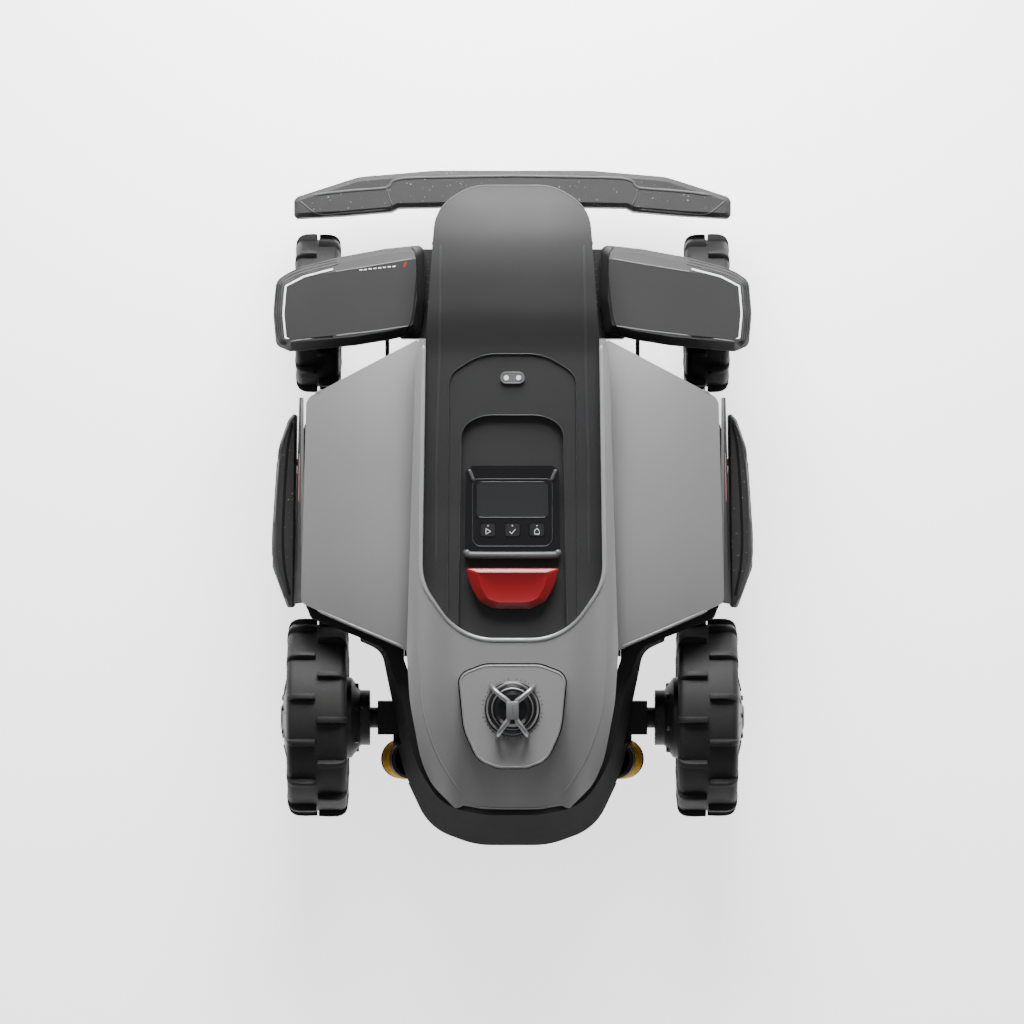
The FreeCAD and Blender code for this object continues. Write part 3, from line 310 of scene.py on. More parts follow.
# Bars in a column, bar width, tyre width, outer radius and bead radius; the sizes are in millimetres.
wheel_facts = {"front": (11, 5.6, 50.0, 88.5, 56.0), "rear": (13, 6.2, 67.0, 110.0, 72.0)}
for axle, (bars, bar_w, width, outer_r, bead_r) in wheel_facts.items():
    half = width / 2
    skin = outer_r - tread_deep
    half_outline = [(half - shoulder_r + shoulder_w * math.sin(a), skin - shoulder_r + shoulder_r * math.cos(a))
                    for a in (math.pi / 2 * i / 8 for i in range(9))]
    half_outline += [(half - 0.8, skin - 18), (half - 0.2, skin - 19), (half - 0.2, skin - 20.5),
                     (half - 1.2, skin - 21.5), (half - 2.5, bead_r + 4.5), (half - 1.2, bead_r + 3.5),
                     (half - 1.2, bead_r + 1.5), (half - 3, bead_r)]
    outline = [(-z, r) for z, r in reversed(half_outline)] + half_outline
    # A bar runs from the middle of the tread over the shoulder and down the sidewall.
    stations = [1.0, half - 20, half - 12, half - 7, half - 3, half - 0.8, half, half - 0.2]
    tops = [outer_r - fall for fall in (0.4, 0, 0.3, 1.6, 4.5, 9, 17, 24)]
    roots = [skin - fall for fall in (3, 3, 3, 5, 9, 14, 19, 26)]
    for side_name, side in sides.items():
        node = f"{axle}_tyre_{side_name}"
        wheel = f"{axle}_wheel_{side_name}"
        move = wheel_place(node, side)
        tyre = piece(node + "_carcass", revolved(scaled(outline), 160), "tyre_rubber", wheel, 40, move=move)
        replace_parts(tyre, node)
        towards_ground = 0.0 if side > 0 else math.pi
        for column_name, column, stagger in (("inner", -1, math.pi / bars), ("outer", 1, 0.0)):
            sections = []
            for u, top, root in zip(stations, tops, roots):
                w = bar_w / 2 * (1.0 if u < half - 6 else 0.9)
                inward = min(u, half - 4.0) if top < outer_r - 8 else u
                sections.append(scaled([(root - outer_r, -w * bar_flare, inward * column),
                                        (root - outer_r, w * bar_flare, inward * column),
                                        (top - outer_r, w, u * column), (top - outer_r, -w, u * column)]))
            ring_of(f"{node}_bars_{column_name}", loft(sections), bars, outer_r * mm, towards_ground + stagger,
                    "tyre_rubber", wheel, move, bevel=0.9 * mm)

# ---------------------------------------------------------------- wheel rims
# A rim is one dished moulding with eight ribs, a pressed hub cap, a ring of cap screws and three red accents on
# its outer face.  The hub motor's flange on the inner side is bolted to the arm or knuckle.
moulded("rim_dark", (0.014, 0.014, 0.015), 0.35, 0.9, 0.08, 0.03, 0.02)
moulded("accent_red", (0.30, 0.006, 0.008), 0.20, 0.8, 0.02, 0.0, 0.02, coat=0.5)
moulded("screw_black", (0.03, 0.03, 0.032), 0.28, 0.8, 0.10, 0.0, 0.03, metal=0.7)


def arc_band(r0, r1, z0, z1, a0, a1, steps=24):
    """Part of a flat ring about +Z, between two radii, heights and angles."""
    sections = []
    for i in range(steps + 1):
        a = a0 + (a1 - a0) * i / steps
        c, s = math.cos(a), math.sin(a)
        sections.append([(r * c, r * s, z) for r, z in ((r0, z0), (r1, z0), (r1, z1), (r0, z1))])
    return loft(sections)


rib_count, cap_screw_count, accent_count, bolt_count = 8, 5, 3, 6
cap_screw_circle_r = 22
rib_out = 28                            # from the middle of a rib out to the bead
# How far the crown and the bolts' seat stand beyond the tyre's side, the bolt circle's radius, and what carries
# the hub motor; the sizes are in millimetres.
rim_facts = {"front": (1.5, 2.0, 22.0, "knuckle"), "rear": (3.7, 8.5, 36.0, "rear_arm")}
for axle, (crown_out, seat_out, bolt_circle_r, carrier) in rim_facts.items():
    _, _, width, _, bead_r = wheel_facts[axle]
    half = width / 2
    face = half - 2.0
    crown = half + crown_out
    seat = half + seat_out
    rib_inner = [(-14, -2.2, crown - 3), (-14, 2.2, crown - 3), (-14, 1.2, crown + 1.4), (-14, -1.2, crown + 1.4)]
    rib_outer = [(12, -3.4, face - 4), (12, 3.4, face - 4), (12, 1.6, face + 1.2), (12, -1.6, face + 1.2)]
    cap_screw = [(crown - 1, 0), (crown - 1, 3.2), (crown + 2.6, 3.0), (crown + 3.0, 2.4), (crown + 3.0, 1.6),
                 (crown + 1.6, 1.5), (crown + 1.6, 0)]
    lip = [(face - 1, bead_r - 6), (face + 0.8, bead_r - 5.2), (face + 0.8, bead_r - 3.2), (face - 1, bead_r - 2.4)]
    bolt = [(-(seat + 3.2), 0), (-(seat + 3.2), 2.2), (-(seat + 2.4), 3.2), (-(seat - 2), 3.2), (-(seat - 2), 0)]
    for side_name, side in sides.items():
        wheel = f"{axle}_wheel_{side_name}"
        move = wheel_place(f"{axle}_tyre_{side_name}", side)
        ring_of(f"{axle}_rim_ribs_{side_name}", loft([scaled(rib_inner), scaled(rib_outer)]), rib_count,
                (bead_r - rib_out) * mm, 0.2, "rim_dark", wheel, move, bevel=0.6 * mm)
        ring_of(f"{axle}_rim_screws_{side_name}", revolved(scaled(cap_screw), 24), cap_screw_count,
                cap_screw_circle_r * mm, 0.5, "screw_black", wheel, move)
        for k in range(accent_count):
            start = 0.55 + 2 * math.pi * k / accent_count
            red = arc_band((bead_r - 13.5) * mm, (bead_r - 9.5) * mm, (face - 3) * mm, (face + 1.2) * mm,
                           start, start + 0.5)
            piece(f"{axle}_rim_accent_{side_name}_{k + 1}", red, "accent_red", wheel, 35, 0.4 * mm, move)
        piece(f"{axle}_rim_lip_{side_name}", revolved(scaled(lip), 120), "rim_dark", wheel, 40, move=move)
        ring_of(f"{axle}_motor_bolts_{side_name}", revolved(scaled(bolt), 6), bolt_count,
                bolt_circle_r * mm, 0.3, "screw_black", f"{carrier}_{side_name}", move, smooth_angle=25)

# ---------------------------------------------------------------- spine cover
# The black spine is a separate gloss-free moulding set into a raised bezel, with a gloss camera window in its
# nose; the bezel's light grey is a painted highlight on its chamfer.  Its console is a shallow arch with a
# deeper well, and thin beads of a lighter black where the levels meet are painted highlights on those edges.
moulded("spine_black", (0.026, 0.026, 0.0265), 0.42, 0.6, 0.04, 0.02, 0.01, shine=0.2)
moulded("gloss_black", (0.004, 0.004, 0.005), 0.12, 4.0, 0.0, 0.0, 0.0, coat=0.2)
# The bezel's light grey paints the highlight on its chamfer, and the lighter black of the edge beads paints
# highlights on edges.
moulded("bezel_bright", (0.34, 0.345, 0.35), 0.28, 0.6, 0.03, 0.0, 0.0, metal=0.5)
moulded("edge_sheen", (0.034, 0.035, 0.037), 0.25, 0.6, 0.03, 0.0, 0.0)
moulded("joint_shadow", (0.004, 0.004, 0.004), 0.8, 0.8, 0.0, 0.0, 0.0)


def skin_of(*names):
    """The outer surface of the named nodes, to lay things on."""
    points, faces = [], []
    for name in names:
        data = nodes[name].data
        base = len(points)
        points += [v.co.copy() for v in data.vertices]
        faces += [[base + i for i in p.vertices] for p in data.polygons]
    return BVHTree.FromPolygons(points, faces)


def flowing(points, step=2.0, closed=False):
    """A smooth line through the points, in millimetres, as evenly spaced points."""
    p = [Vector(q) for q in points]
    n = len(p)
    out = []
    for i in range(n if closed else n - 1):
        a = p[i - 1] if closed or i > 0 else p[0] * 2 - p[1]
        b, c = p[i], p[(i + 1) % n]
        d = p[(i + 2) % n] if closed or i < n - 2 else c * 2 - b
        count = max(1, int((c - b).length / step))
        for k in range(count):
            t = k / count
            out.append(0.5 * ((2 * b) + (c - a) * t + (2 * a - 5 * b + 4 * c - d) * t * t
                              + (3 * b - a - 3 * c + d) * t ** 3))
    if not closed:
        out.append(p[-1])
    return out


def rounded(corners, grow=0.0):
    """An outline in millimetres through (x, y, radius) corners, moved outwards by grow."""
    n = len(corners)
    area = sum(corners[i - 1][0] * corners[i][1] - corners[i][0] * corners[i - 1][1] for i in range(n))
    turn = 1 if area > 0 else -1
    out = []
    for i, (x, y, r) in enumerate(corners):
        p = Vector((x, y))
        before, after = Vector(corners[i - 1][:2]) - p, Vector(corners[(i + 1) % n][:2]) - p
        room = 0.48 * min(before.length, after.length)
        half = before.angle(after) / 2
        back = min(r / math.tan(half), room) if r > 0 else 0.0
        before.normalize()
        after.normalize()
        if back < 0.01:
            normal = Vector((-after.y + before.y, after.x - before.x)).normalized() * -turn
            out.append(p + normal * grow / max(0.3, math.sin(half)))
            continue
        r = back * math.tan(half)
        centre = p + (before + after).normalized() * (r / math.sin(half))
        start, end = p + before * back - centre, p + after * back - centre
        bend = 1 if (start.x * end.y - start.y * end.x) > 0 else -1
        sweep = start.angle(end)
        steps = max(2, int(math.degrees(sweep) / 6))
        outward = grow * (1 if bend == turn else -1)
        for k in range(steps + 1):
            a = bend * sweep * k / steps
            c, s = math.cos(a), math.sin(a)
            spoke = Vector((start.x * c - start.y * s, start.x * s + start.y * c))
            out.append(centre + spoke * (1 + outward / r))
    return out


def evenly(points, step=2.0, closed=True):
    """The outline with points added so that no stretch is longer than the step."""
    out = []
    n = len(points)
    for i in range(n if closed else n - 1):
        a, b = Vector(points[i]), Vector(points[(i + 1) % n])
        count = max(1, int(math.ceil((b - a).length / step)))
        out += [a + (b - a) * k / count for k in range(count)]
    if not closed:
        out.append(Vector(points[-1]))
    return out


def from_gap(line):
    """The points of a cut outline, from one end of the cut round to the other."""
    first = max(range(len(line)), key=lambda i: (line[i] - line[i - 1]).length)
    return line[first:] + line[:first]


down = Vector((0, 0, -1))
bead_foot = 0.8                         # a bead's foot, as a share of its width
bead_sunk = 0.5                         # how deep the foot lies in the cover
bead_end = 0.35                         # size of a tapered bead's ends, as a share of its middle


def bead(name, line, skin, half_w, rise, finish, body, closed=False, cast=down, lift=0.0, taper=True):
    """A bead swept along a line on a skin, with sizes in millimetres.

    The line's points are (x, y) seen from above, or 3-D points when they are cast sideways.
    """
    found = []
    for q in line:
        start = Vector((q[0] * mm, q[1] * mm, 1.0)) if cast is down else Vector(q) * mm - cast * 0.5
        place, normal, _, _ = skin.ray_cast(start, cast)
        if place is not None:
            found.append((place + normal * lift * mm, normal if normal.dot(cast) < 0 else -normal))
    n = len(found)
    if n < 2:
        raise ValueError(f"{name} misses its surface")
    sections = []
    for i, (centre, upward) in enumerate(found):
        at_end = not closed and i in (0, n - 1)
        before = found[i - 1] if closed else found[max(i - 1, 0)]
        after = found[(i + 1) % n] if closed else found[min(i + 1, n - 1)]
        along = (after[0] - before[0]).normalized()
        normal = (before[1] + upward + after[1]).normalized()
        across = normal.cross(along).normalized()
        size = bead_end if taper and at_end else 1.0
        ring = [centre + across * (math.cos(a) * half_w * mm * size) + normal * (math.sin(a) * rise * mm * size)
                for a in (math.pi * k / 6 for k in range(7))]
        ring += [centre + across * edge * half_w * mm * bead_foot - normal * bead_sunk * mm for edge in (-1, 1)]
        sections.append(ring)
    mesh = loft(sections + ([sections[0]] if closed else []), close=not closed)
    bmesh.ops.remove_doubles(mesh, verts=mesh.verts, dist=1e-7)
    bmesh.ops.recalc_face_normals(mesh, faces=mesh.faces)
    return piece(name, mesh, finish, body, 50)


def both(half):
    """The whole outline from its +X half, given from the front to the rear."""
    return list(half) + [(-x, y, r) for x, y, r in reversed(half) if x > 0]


def middle_y(node):
    """The middle of a node from front to rear, in millimetres."""
    low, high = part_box(node)
    return (low.y + high.y) / 2 / mm


axle_y = middle_y("front_tyre_right")
rear_y = middle_y("rear_tyre_right")
spine_rear = rear_y + 89.0
spine_skin = skin_of("spine_cover")
grey_skin = skin_of("tail_cover", "wing_left", "wing_right")
spine_outline = both([(46.0, axle_y + 136.0, 60.0), (84.0, axle_y + 110.0, 46.0), (94.0, axle_y - 27.0, 0.0),
                      (98.0, spine_rear + 62.0, 60.0), (56.0, spine_rear + 1.0, 70.0)])
bezel_line = from_gap([q for q in evenly(rounded(spine_outline, 2.4), 2.5) if q.y < axle_y - 37])
bead("spine_bezel", bezel_line, grey_skin, 2.3, 1.5, "bezel_bright", "chassis")
# The head's rim, the console's step edges and the bands down the flanks are painted highlights in a lighter black.
head_line = from_gap([q for q in evenly(rounded(spine_outline, -1.2), 2.5) if q.y > axle_y + 108])
bead("head_rim", head_line, spine_skin, 0.7, 0.5, "edge_sheen", "chassis")
arch = [(34.0, axle_y - 49.0, 60.0), (69.0, axle_y - 71.0, 20.0), (71.0, spine_rear - 20.0, 0.0)]
well = [(34.0, 100.0, 50.0), (55.0, 88.0, 24.0), (60.0, spine_rear - 20.0, 0.0)]
for name, half in (("arch_edge", arch), ("well_edge", well)):
    line = from_gap([q for q in evenly(rounded(both(half), 0.5), 2.5) if q.y > spine_rear + 14])
    bead(name, line, spine_skin, 0.6, 0.35, "edge_sheen", "chassis")
for side_name, side in sides.items():
    band = flowing([(side * 78, axle_y + 70), (side * 80, 160), (side * 83, 60), (side * 84, -60)], 4)
    bead(f"spine_flank_highlight_{side_name}", band, spine_skin, 1.6, 0.25, "edge_sheen", "chassis")

# ---------------------------------------------------------------- console
# A gloss panel holds the display and three keys under a half-round lip; two short arms close its front corners.
# The lip and the arms are a lighter grey that paints their highlights, and a thin lighter black bead paints the
# highlight on the panel's edge.  Each key has a printed sign and a white pilot dot.
moulded("tray_black", (0.007, 0.007, 0.008), 0.12, 4.0, 0.0, 0.0, 0.0, coat=0.3)
moulded("display_glass", (0.020, 0.021, 0.022), 0.05, 4.0, 0.0, 0.0, 0.0, coat=0.6)
moulded("key_grey", (0.016, 0.0165, 0.018), 0.25, 0.6, 0.05, 0.0, 0.0)
moulded("sensor_grey", (0.10, 0.102, 0.105), 0.22, 0.8, 0.03, 0.0, 0.0)
# A lighter grey that paints the highlights on the lip and the corner arms.
moulded("lip_grey", (0.055, 0.056, 0.058), 0.28, 0.6, 0.02, 0.0, 0.0)
moulded("print_white", (0.80, 0.80, 0.80), 0.45, 0.8, 0.0, 0.0, 0.0)
tray_skin = skin_of("control_tray")
lip_line = flowing([(-50, -46), (-49.4, -50), (-45, -52), (0, -52.3), (45, -52), (49.4, -50), (50, -46)], 1.5)
bead("console_lip", lip_line, tray_skin, 3.9, 3.0, "lip_grey", "chassis")
for side_name, side in sides.items():
    arm_line = flowing([(side * 47.5, 41.5), (side * 45, 35.5), (side * 42.3, 29.0)], 1.0)
    bead(f"console_arm_{side_name}", arm_line, tray_skin, 2.0, 1.6, "lip_grey", "chassis")
panel = both([(43.5, 31.0, 7.0), (43.5, -42.4, 9.0)])
bead("panel_edge", evenly(rounded(panel)), tray_skin, 0.5, 0.35, "edge_sheen", "chassis", True)
display = both([(39.0, 27.3, 5.5), (39.0, -10.7, 5.5)])
bead("display_frame", evenly(rounded(display, 0.4)), skin_of("control_tray", "display_window"), 0.5, 0.3,
     "tray_black", "chassis", True)
key_y = rear_y + 208.0
key_pitch = 26.7
pilot_r = 0.3
signs = {"play": (-key_pitch, [(-2.2, -4.6), (-2.2, 1.4), (3.0, -1.6)], True),
         "ok": (0.0, [(-3.2, -1.8), (-0.9, -4.2), (3.4, 0.9)], False),
         "home": (key_pitch, [(-2.6, -4.6), (-2.6, -1.0), (0.0, 1.6), (2.6, -1.0), (2.6, -4.6)], True)}
for key, (x, sign, closed) in signs.items():
    body = f"key_{key}"
    skin = skin_of(body)
    line = evenly([(x + a, key_y + b) for a, b in sign], 0.5, closed)
    bead(f"key_sign_{key}", line, skin, 0.27, 0.10, "print_white", body, closed, taper=False)
    pilot = [(x + pilot_r * math.cos(a), key_y + 4.6 + pilot_r * math.sin(a))
             for a in (math.pi * k / 6 for k in range(12))]
    bead(f"key_dot_{key}", pilot, skin, 0.32, 0.15, "print_white", body, True)
sensor = both([(13.3, axle_y - 67.9, 6.5), (13.3, axle_y - 81.1, 6.5)])
bead("rain_sensor_edge", evenly(rounded(sensor, -0.8), 1.5), skin_of("rain_sensor"), 0.6, 0.35, "sensor_grey",
     "chassis", True)

# ---------------------------------------------------------------- stop button
# The stop is one red moulding with a sloping rim round a flat face, so that a hand finds it without looking.
# It is pressed straight down at the rear of the console.
moulded("stop_red", (0.17, 0.005, 0.007), 0.20, 0.8, 0.01, 0.0, 0.0, coat=0.2)
stop_skin = skin_of("stop_button")
stop_y = spine_rear + 57.0
stop_outer = both([(51.0, spine_rear + 77.0, 2.0), (45.5, spine_rear + 56.0, 40.0),
                   (36.0, spine_rear + 41.0, 12.0), (20.0, spine_rear + 33.0, 20.0)])
stop_inner = both([(38.5, spine_rear + 72.0, 1.5), (34.5, spine_rear + 57.0, 30.0),
                   (27.5, spine_rear + 44.5, 8.0), (16.0, spine_rear + 40.0, 14.0)])


def paced(points, count):
    """The outline as count points evenly spaced along it, starting at the middle of its front edge."""
    points = [Vector((0.0, points[0][1]))] + [Vector(p) for p in points]
    lengths = [0.0]
    for i in range(len(points)):
        lengths.append(lengths[-1] + (points[(i + 1) % len(points)] - points[i]).length)
    out, i = [], 0
    for k in range(count):
        goal = lengths[-1] * k / count
        while lengths[i + 1] < goal:
            i += 1
        share = (goal - lengths[i]) / max(lengths[i + 1] - lengths[i], 1e-9)
        out.append(points[i].lerp(points[(i + 1) % len(points)], share))
    return out


# From the bottom up: the outline, how far it is moved out, and how far it lies below the button's skin.
stop_levels = ((stop_outer, -0.2, 8.4), (stop_outer, 0.0, 7.0), (stop_outer, 0.0, 3.6), (stop_outer, -0.8, 2.6),
               (stop_inner, 0.9, 0.3), (stop_inner, 0.0, 0.0), (stop_inner, -1.0, 0.5))
mesh = bmesh.new()
levels = []
for outline, grow, drop in stop_levels:
    level = []
    for q in paced(rounded(outline, grow), 160):
        # The skin is read a little inboard of the outline, where the ray is sure to meet it.
        above = Vector((q.x * 0.93 * mm, (stop_y + (q.y - stop_y) * 0.90) * mm, 1))
        place, _, _, _ = stop_skin.ray_cast(above, down)
        level.append(mesh.verts.new((q.x * mm, q.y * mm, place.z - drop * mm)))
    levels.append(level)
for a, b in zip(levels, levels[1:]):
    for i in range(len(a)):
        k = (i + 1) % len(a)
        mesh.faces.new((a[i], a[k], b[k], b[i]))
mesh.faces.new(levels[-1])
mesh.faces.new(levels[0][::-1])
bmesh.ops.recalc_face_normals(mesh, faces=mesh.faces)
bmesh.ops.triangulate(mesh, faces=[f for f in mesh.faces if len(f.verts) > 4])
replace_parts(piece("stop_face", mesh, "stop_red", "stop", 28, 0.5 * mm), "stop_button")

# ---------------------------------------------------------------- wing panels and tail cover
# The grey covers are painted mouldings: the tail has a crease down each side and a lip across its rear, and the
# wings have rolled front and rear edges.  Each dark flank carries a red inlay and two ribs above the bumper.
for name in ("wing_grey", "tail_grey"):
    moulded(name, (0.21, 0.21, 0.212), 0.34, 0.6, 0.04, 0.05, 0.02, metal=0.30)
tail_skin = skin_of("tail_cover")
wall_lean = 0.35                        # a wing's face is a dark wall where its normal's Z is under this
outside_x = 236                         # clear of the flanks, where marks are cast inwards from
rear_edge_y = spine_rear + 43
for side_name, side in sides.items():
    flank_data = nodes[f"wing_{side_name}"].data
    flank_data.materials.append(finishes["housing_dark"])
    for face in flank_data.polygons:
        if abs(face.normal.z) < wall_lean:
            face.material_index = 1
    crease = flowing([(side * 103, spine_rear - 4), (side * 100, rear_y + 30), (side * 94.6, rear_y - 2),
                      (side * 81.4, rear_y - 40), (side * 62, rear_y - 73), (side * 52, rear_y - 84)], 3)
    bead(f"tail_crease_{side_name}", crease, tail_skin, 1.3, 0.5, "tail_grey", "chassis")
    front_edge = flowing([(side * 106, axle_y - 33), (side * 165, axle_y - 63), (side * 216, axle_y - 91)], 4)
    bead(f"wing_front_roll_{side_name}", front_edge, grey_skin, 1.8, 0.7, "wing_grey", "chassis")
    rear_edge = flowing([(side * 221, rear_edge_y - 9), (side * 170, rear_edge_y - 31),
                         (side * 120, rear_edge_y - 52)], 4)
    bead(f"wing_rear_roll_{side_name}", rear_edge, grey_skin, 1.6, 0.6, "wing_grey", "chassis")
    flank = skin_of(f"wing_{side_name}")
    inward = Vector((-side, 0, 0))
    inlay = [(side * outside_x, y, 168.0 - 0.06 * (58 - y)) for y in range(60, 4, -3)]
    bead(f"flank_inlay_{side_name}", inlay, flank, 2.2, 0.8, "accent_red", "chassis", cast=inward)
    for z, reach in ((150.0, 70), (142.0, 60)):
        rib = [(side * outside_x, y, z) for y in range(reach, -reach - 1, -4)]
        bead(f"flank_rib_{side_name}_{z:.0f}", rib, flank, 1.2, 0.8, "housing_dark", "chassis", cast=inward)
tail_lip = flowing([(-60, rear_y - 97.0), (-53, rear_y - 93.5), (-32, rear_y - 97), (0, rear_y - 97.5),
                    (32, rear_y - 97), (53, rear_y - 93.5), (60, rear_y - 97.0)], 2)
bead("tail_rear_lip", tail_lip, tail_skin, 1.0, 0.5, "tail_grey", "chassis")

# ---------------------------------------------------------------- front bumper
# The bumper is one textured moulding with a raised middle part, a rolled front lip and shallow steps towards
# its ends.  The lip, the steps and the rear edges are beads in a lighter grey that paints their highlights.
moulded("bumper_grey", (0.024, 0.024, 0.0245), 0.45, 1.1, 0.22, 0.50, 0.02)
# A lighter grey that paints the highlights on the bumpers' rolled and bevelled edges.
moulded("bumper_bevel", (0.05, 0.051, 0.054), 0.32, 1.0, 0.1, 0.02, 0.02)
bumper_skin = skin_of("front_bumper")
front_y = axle_y + 158
half_lip = flowing([(0, front_y - 7), (87, front_y - 8.5), (122, front_y - 10), (134, front_y - 14),
                    (139, front_y - 20), (180, front_y - 23.5), (222, front_y - 28)], 3)
whole_lip = [Vector((-q.x, q.y)) for q in reversed(half_lip[1:])] + half_lip
bead("bumper_front_lip", whole_lip, bumper_skin, 1.7, 0.9, "bumper_bevel", "front_bumper")
for side_name, side in sides.items():
    step = flowing([(side * 139, front_y - 20), (side * 136, front_y - 32), (side * 132, front_y - 41)], 2)
    bead(f"bumper_step_{side_name}", step, bumper_skin, 1.0, 0.7, "bumper_bevel", "front_bumper")
    edge = flowing([(side * 236, front_y - 34), (side * 215, front_y - 49), (side * 186, front_y - 48),
                    (side * 140, front_y - 44)], 3)
    bead(f"bumper_rear_edge_{side_name}", edge, bumper_skin, 0.9, 0.5, "bumper_bevel", "front_bumper")

# ---------------------------------------------------------------- side bumpers
# Each side bumper is one textured moulding that floats on the body.  It has a rolled outer edge in a lighter
# grey that paints its highlight, a painted shadow line along its middle and three scuff ribs outside.
for side_name, side in sides.items():
    body = f"side_bumper_{side_name}"
    skin = skin_of(body)
    roll = flowing([(side * 247.5, 92), (side * 256, 64), (side * 261, 10), (side * 262, -30), (side * 261.5, -62),
                    (side * 250, -100)], 3)
    bead(f"side_bumper_roll_{side_name}", roll, skin, 2.0, 0.8, "bumper_bevel", body)
    joint = flowing([(side * 243, 94), (side * 249, 60), (side * 253.5, -20), (side * 252.5, -62),
                     (side * 246, -98)], 3)
    bead(f"side_bumper_joint_{side_name}", joint, skin, 1.5, 0.3, "joint_shadow", body)
    inward = Vector((-side, 0, 0))
    for z in (86.0, 96.0, 106.0):
        rib = [(side * 275, y, z) for y in range(52, -60, -4)]
        bead(f"side_bumper_rib_{side_name}_{z:.0f}", rib, skin, 1.3, 1.0, "bumper_grey", body, cast=inward)

# ---------------------------------------------------------------- front fenders
# A fender is a flat pad with a sloping front facet, whose edge and the pad's rear edge carry lighter lines that
# paint their highlights.  Three ribs wrap its shoulder outside the lamp, a dark joint closes the pad's inner end,
# and short light strokes beside it paint highlights on the vent fins' tips; the left pad has a printed mark and
# dashes.
moulded("textured_black", (0.028, 0.028, 0.0285), 0.42, 0.8, 0.08, 0.03, 0.01, shine=0.25)
moulded("lamp_white", (0.90, 0.91, 0.93), 0.25, 0.8, 0.02, 0.0, 0.0)
# A lighter black that paints highlights on the fender's edges and the vent fins' tips.
moulded("facet_sheen", (0.085, 0.086, 0.09), 0.30, 0.7, 0.04, 0.02, 0.02)


def on_fender(side, points, step=2.0):
    """A smooth line on one fender, through points measured from the axle's middle."""
    return flowing([(side * x, axle_y + y) for x, y in points], step)


tick_skin = skin_of("vent_fins", "spine_cover", "fender_left", "fender_right", "axle_beam")
for side_name, side in sides.items():
    skin = skin_of(f"fender_{side_name}")
    joint = on_fender(side, [(111, 70), (106, 62), (104.5, 45), (106, 20), (110, -10), (117, -24)])
    bead(f"pad_joint_{side_name}", joint, skin, 1.1, 0.25, "joint_shadow", "front_axle")
    facet = on_fender(side, [(110, 56.5), (150, 49.5), (193, 42.5)], 4)
    bead(f"facet_edge_{side_name}", facet, skin, 0.7, 0.35, "facet_sheen", "front_axle", taper=False)
    rear = on_fender(side, [(113, -17), (150, -22.5), (200, -28.5), (243, -34)], 4)
    bead(f"rear_edge_{side_name}", rear, skin, 0.8, 0.4, "facet_sheen", "front_axle")
    for k, out in enumerate((0.0, 2.6, 5.2)):
        rib = on_fender(side, [(190 + out * 0.4, 51 + out), (229 + out, 40.5 + out),
                               (251.5 + out * 0.55, 29 + out * 0.9), (254.2 + out * 0.9, 14),
                               (254.6 + out * 0.9, -6), (252.6 + out * 0.8, -30),
                               (246.0 + out * 0.6, -36.5 - out * 0.4)])
        bead(f"shoulder_rib_{side_name}_{k + 1}", rib, skin, 0.75, 0.8, "textured_black", "front_axle")
    # Short light strokes paint the highlights on the vent fins' tips.
    for k in range(10):
        y = axle_y + 54.0 - 7.4 * k
        bead(f"fin_tip_highlight_{side_name}_{k + 1}", [(side * 91.0, y), (side * 93.2, y)], tick_skin, 0.35, 0.3,
             "facet_sheen", "chassis", lift=0.1)
left_skin = skin_of("fender_left")
mark = [(-118.6, axle_y + 47.6), (-116.2, axle_y + 52.4)]
bead("steering_mark", mark, left_skin, 1.1, 0.2, "accent_red", "front_axle", taper=False)
for k in range(8):
    x = -128.0 - 5.2 * k
    dash = [(x, axle_y + 48.2 - 0.55 * k), (x - 3.2, axle_y + 47.9 - 0.55 * k)]
    bead(f"caption_dash_{k + 1}", dash, left_skin, 0.55, 0.12, "print_white", "front_axle", taper=False)

# ---------------------------------------------------------------- rear spring buffers
# The yellow buffers are stacked rubber rolls between a black upper cup and the trailing arm.  They are fixed
# to the chassis here and keep their rest shape.
moulded("spring_yellow", (0.66, 0.33, 0.0), 0.5, 0.8, 0.03, 0.0, 0.0, shine=0.15)
buffer_y = rear_y - 46.5
cup_x, cup_z = 114, 112
foot_x, foot_z = 124, 78
seat = 7.4                              # from the cup's top to the first roll
rolls, roll_r, roll_swell = 3, 20.6, 1.6
cup = [(-0.5, 0.0), (-0.5, 13), (-2.0, 15), (-2.0, 18.5), (-0.5, 20.4), (6.5, 20.9), (7.6, 20.0), (7.6, 0.0)]
for side_name, side in sides.items():
    node = f"spring_{side_name}"
    top = Vector((side * cup_x, buffer_y, cup_z)) * mm
    run = Vector((side * foot_x, buffer_y, foot_z)) * mm - top
    length = run.length / mm
    profile = [(seat, 9), (seat, 17)]
    for i in range(rolls * 8 + 1):
        t = i / (rolls * 8)
        swell = roll_swell * abs(math.sin(math.pi * rolls * t))
        profile.append((seat + 0.4 + t * (length - seat - 0.8), roll_r + swell))
    profile += [(length, 17), (length, 9)]
    move = Matrix.Translation(top) @ run.to_track_quat("Z", "Y").to_matrix().to_4x4()
    piece(f"{node}_cup", revolved(scaled(cup), 72), "gloss_black", "chassis", 40, move=move)
    buffer = piece(f"{node}_rolls", revolved(scaled(profile), 72), "spring_yellow", "chassis", 50, move=move)
    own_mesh(buffer)
    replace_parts(buffer, node)

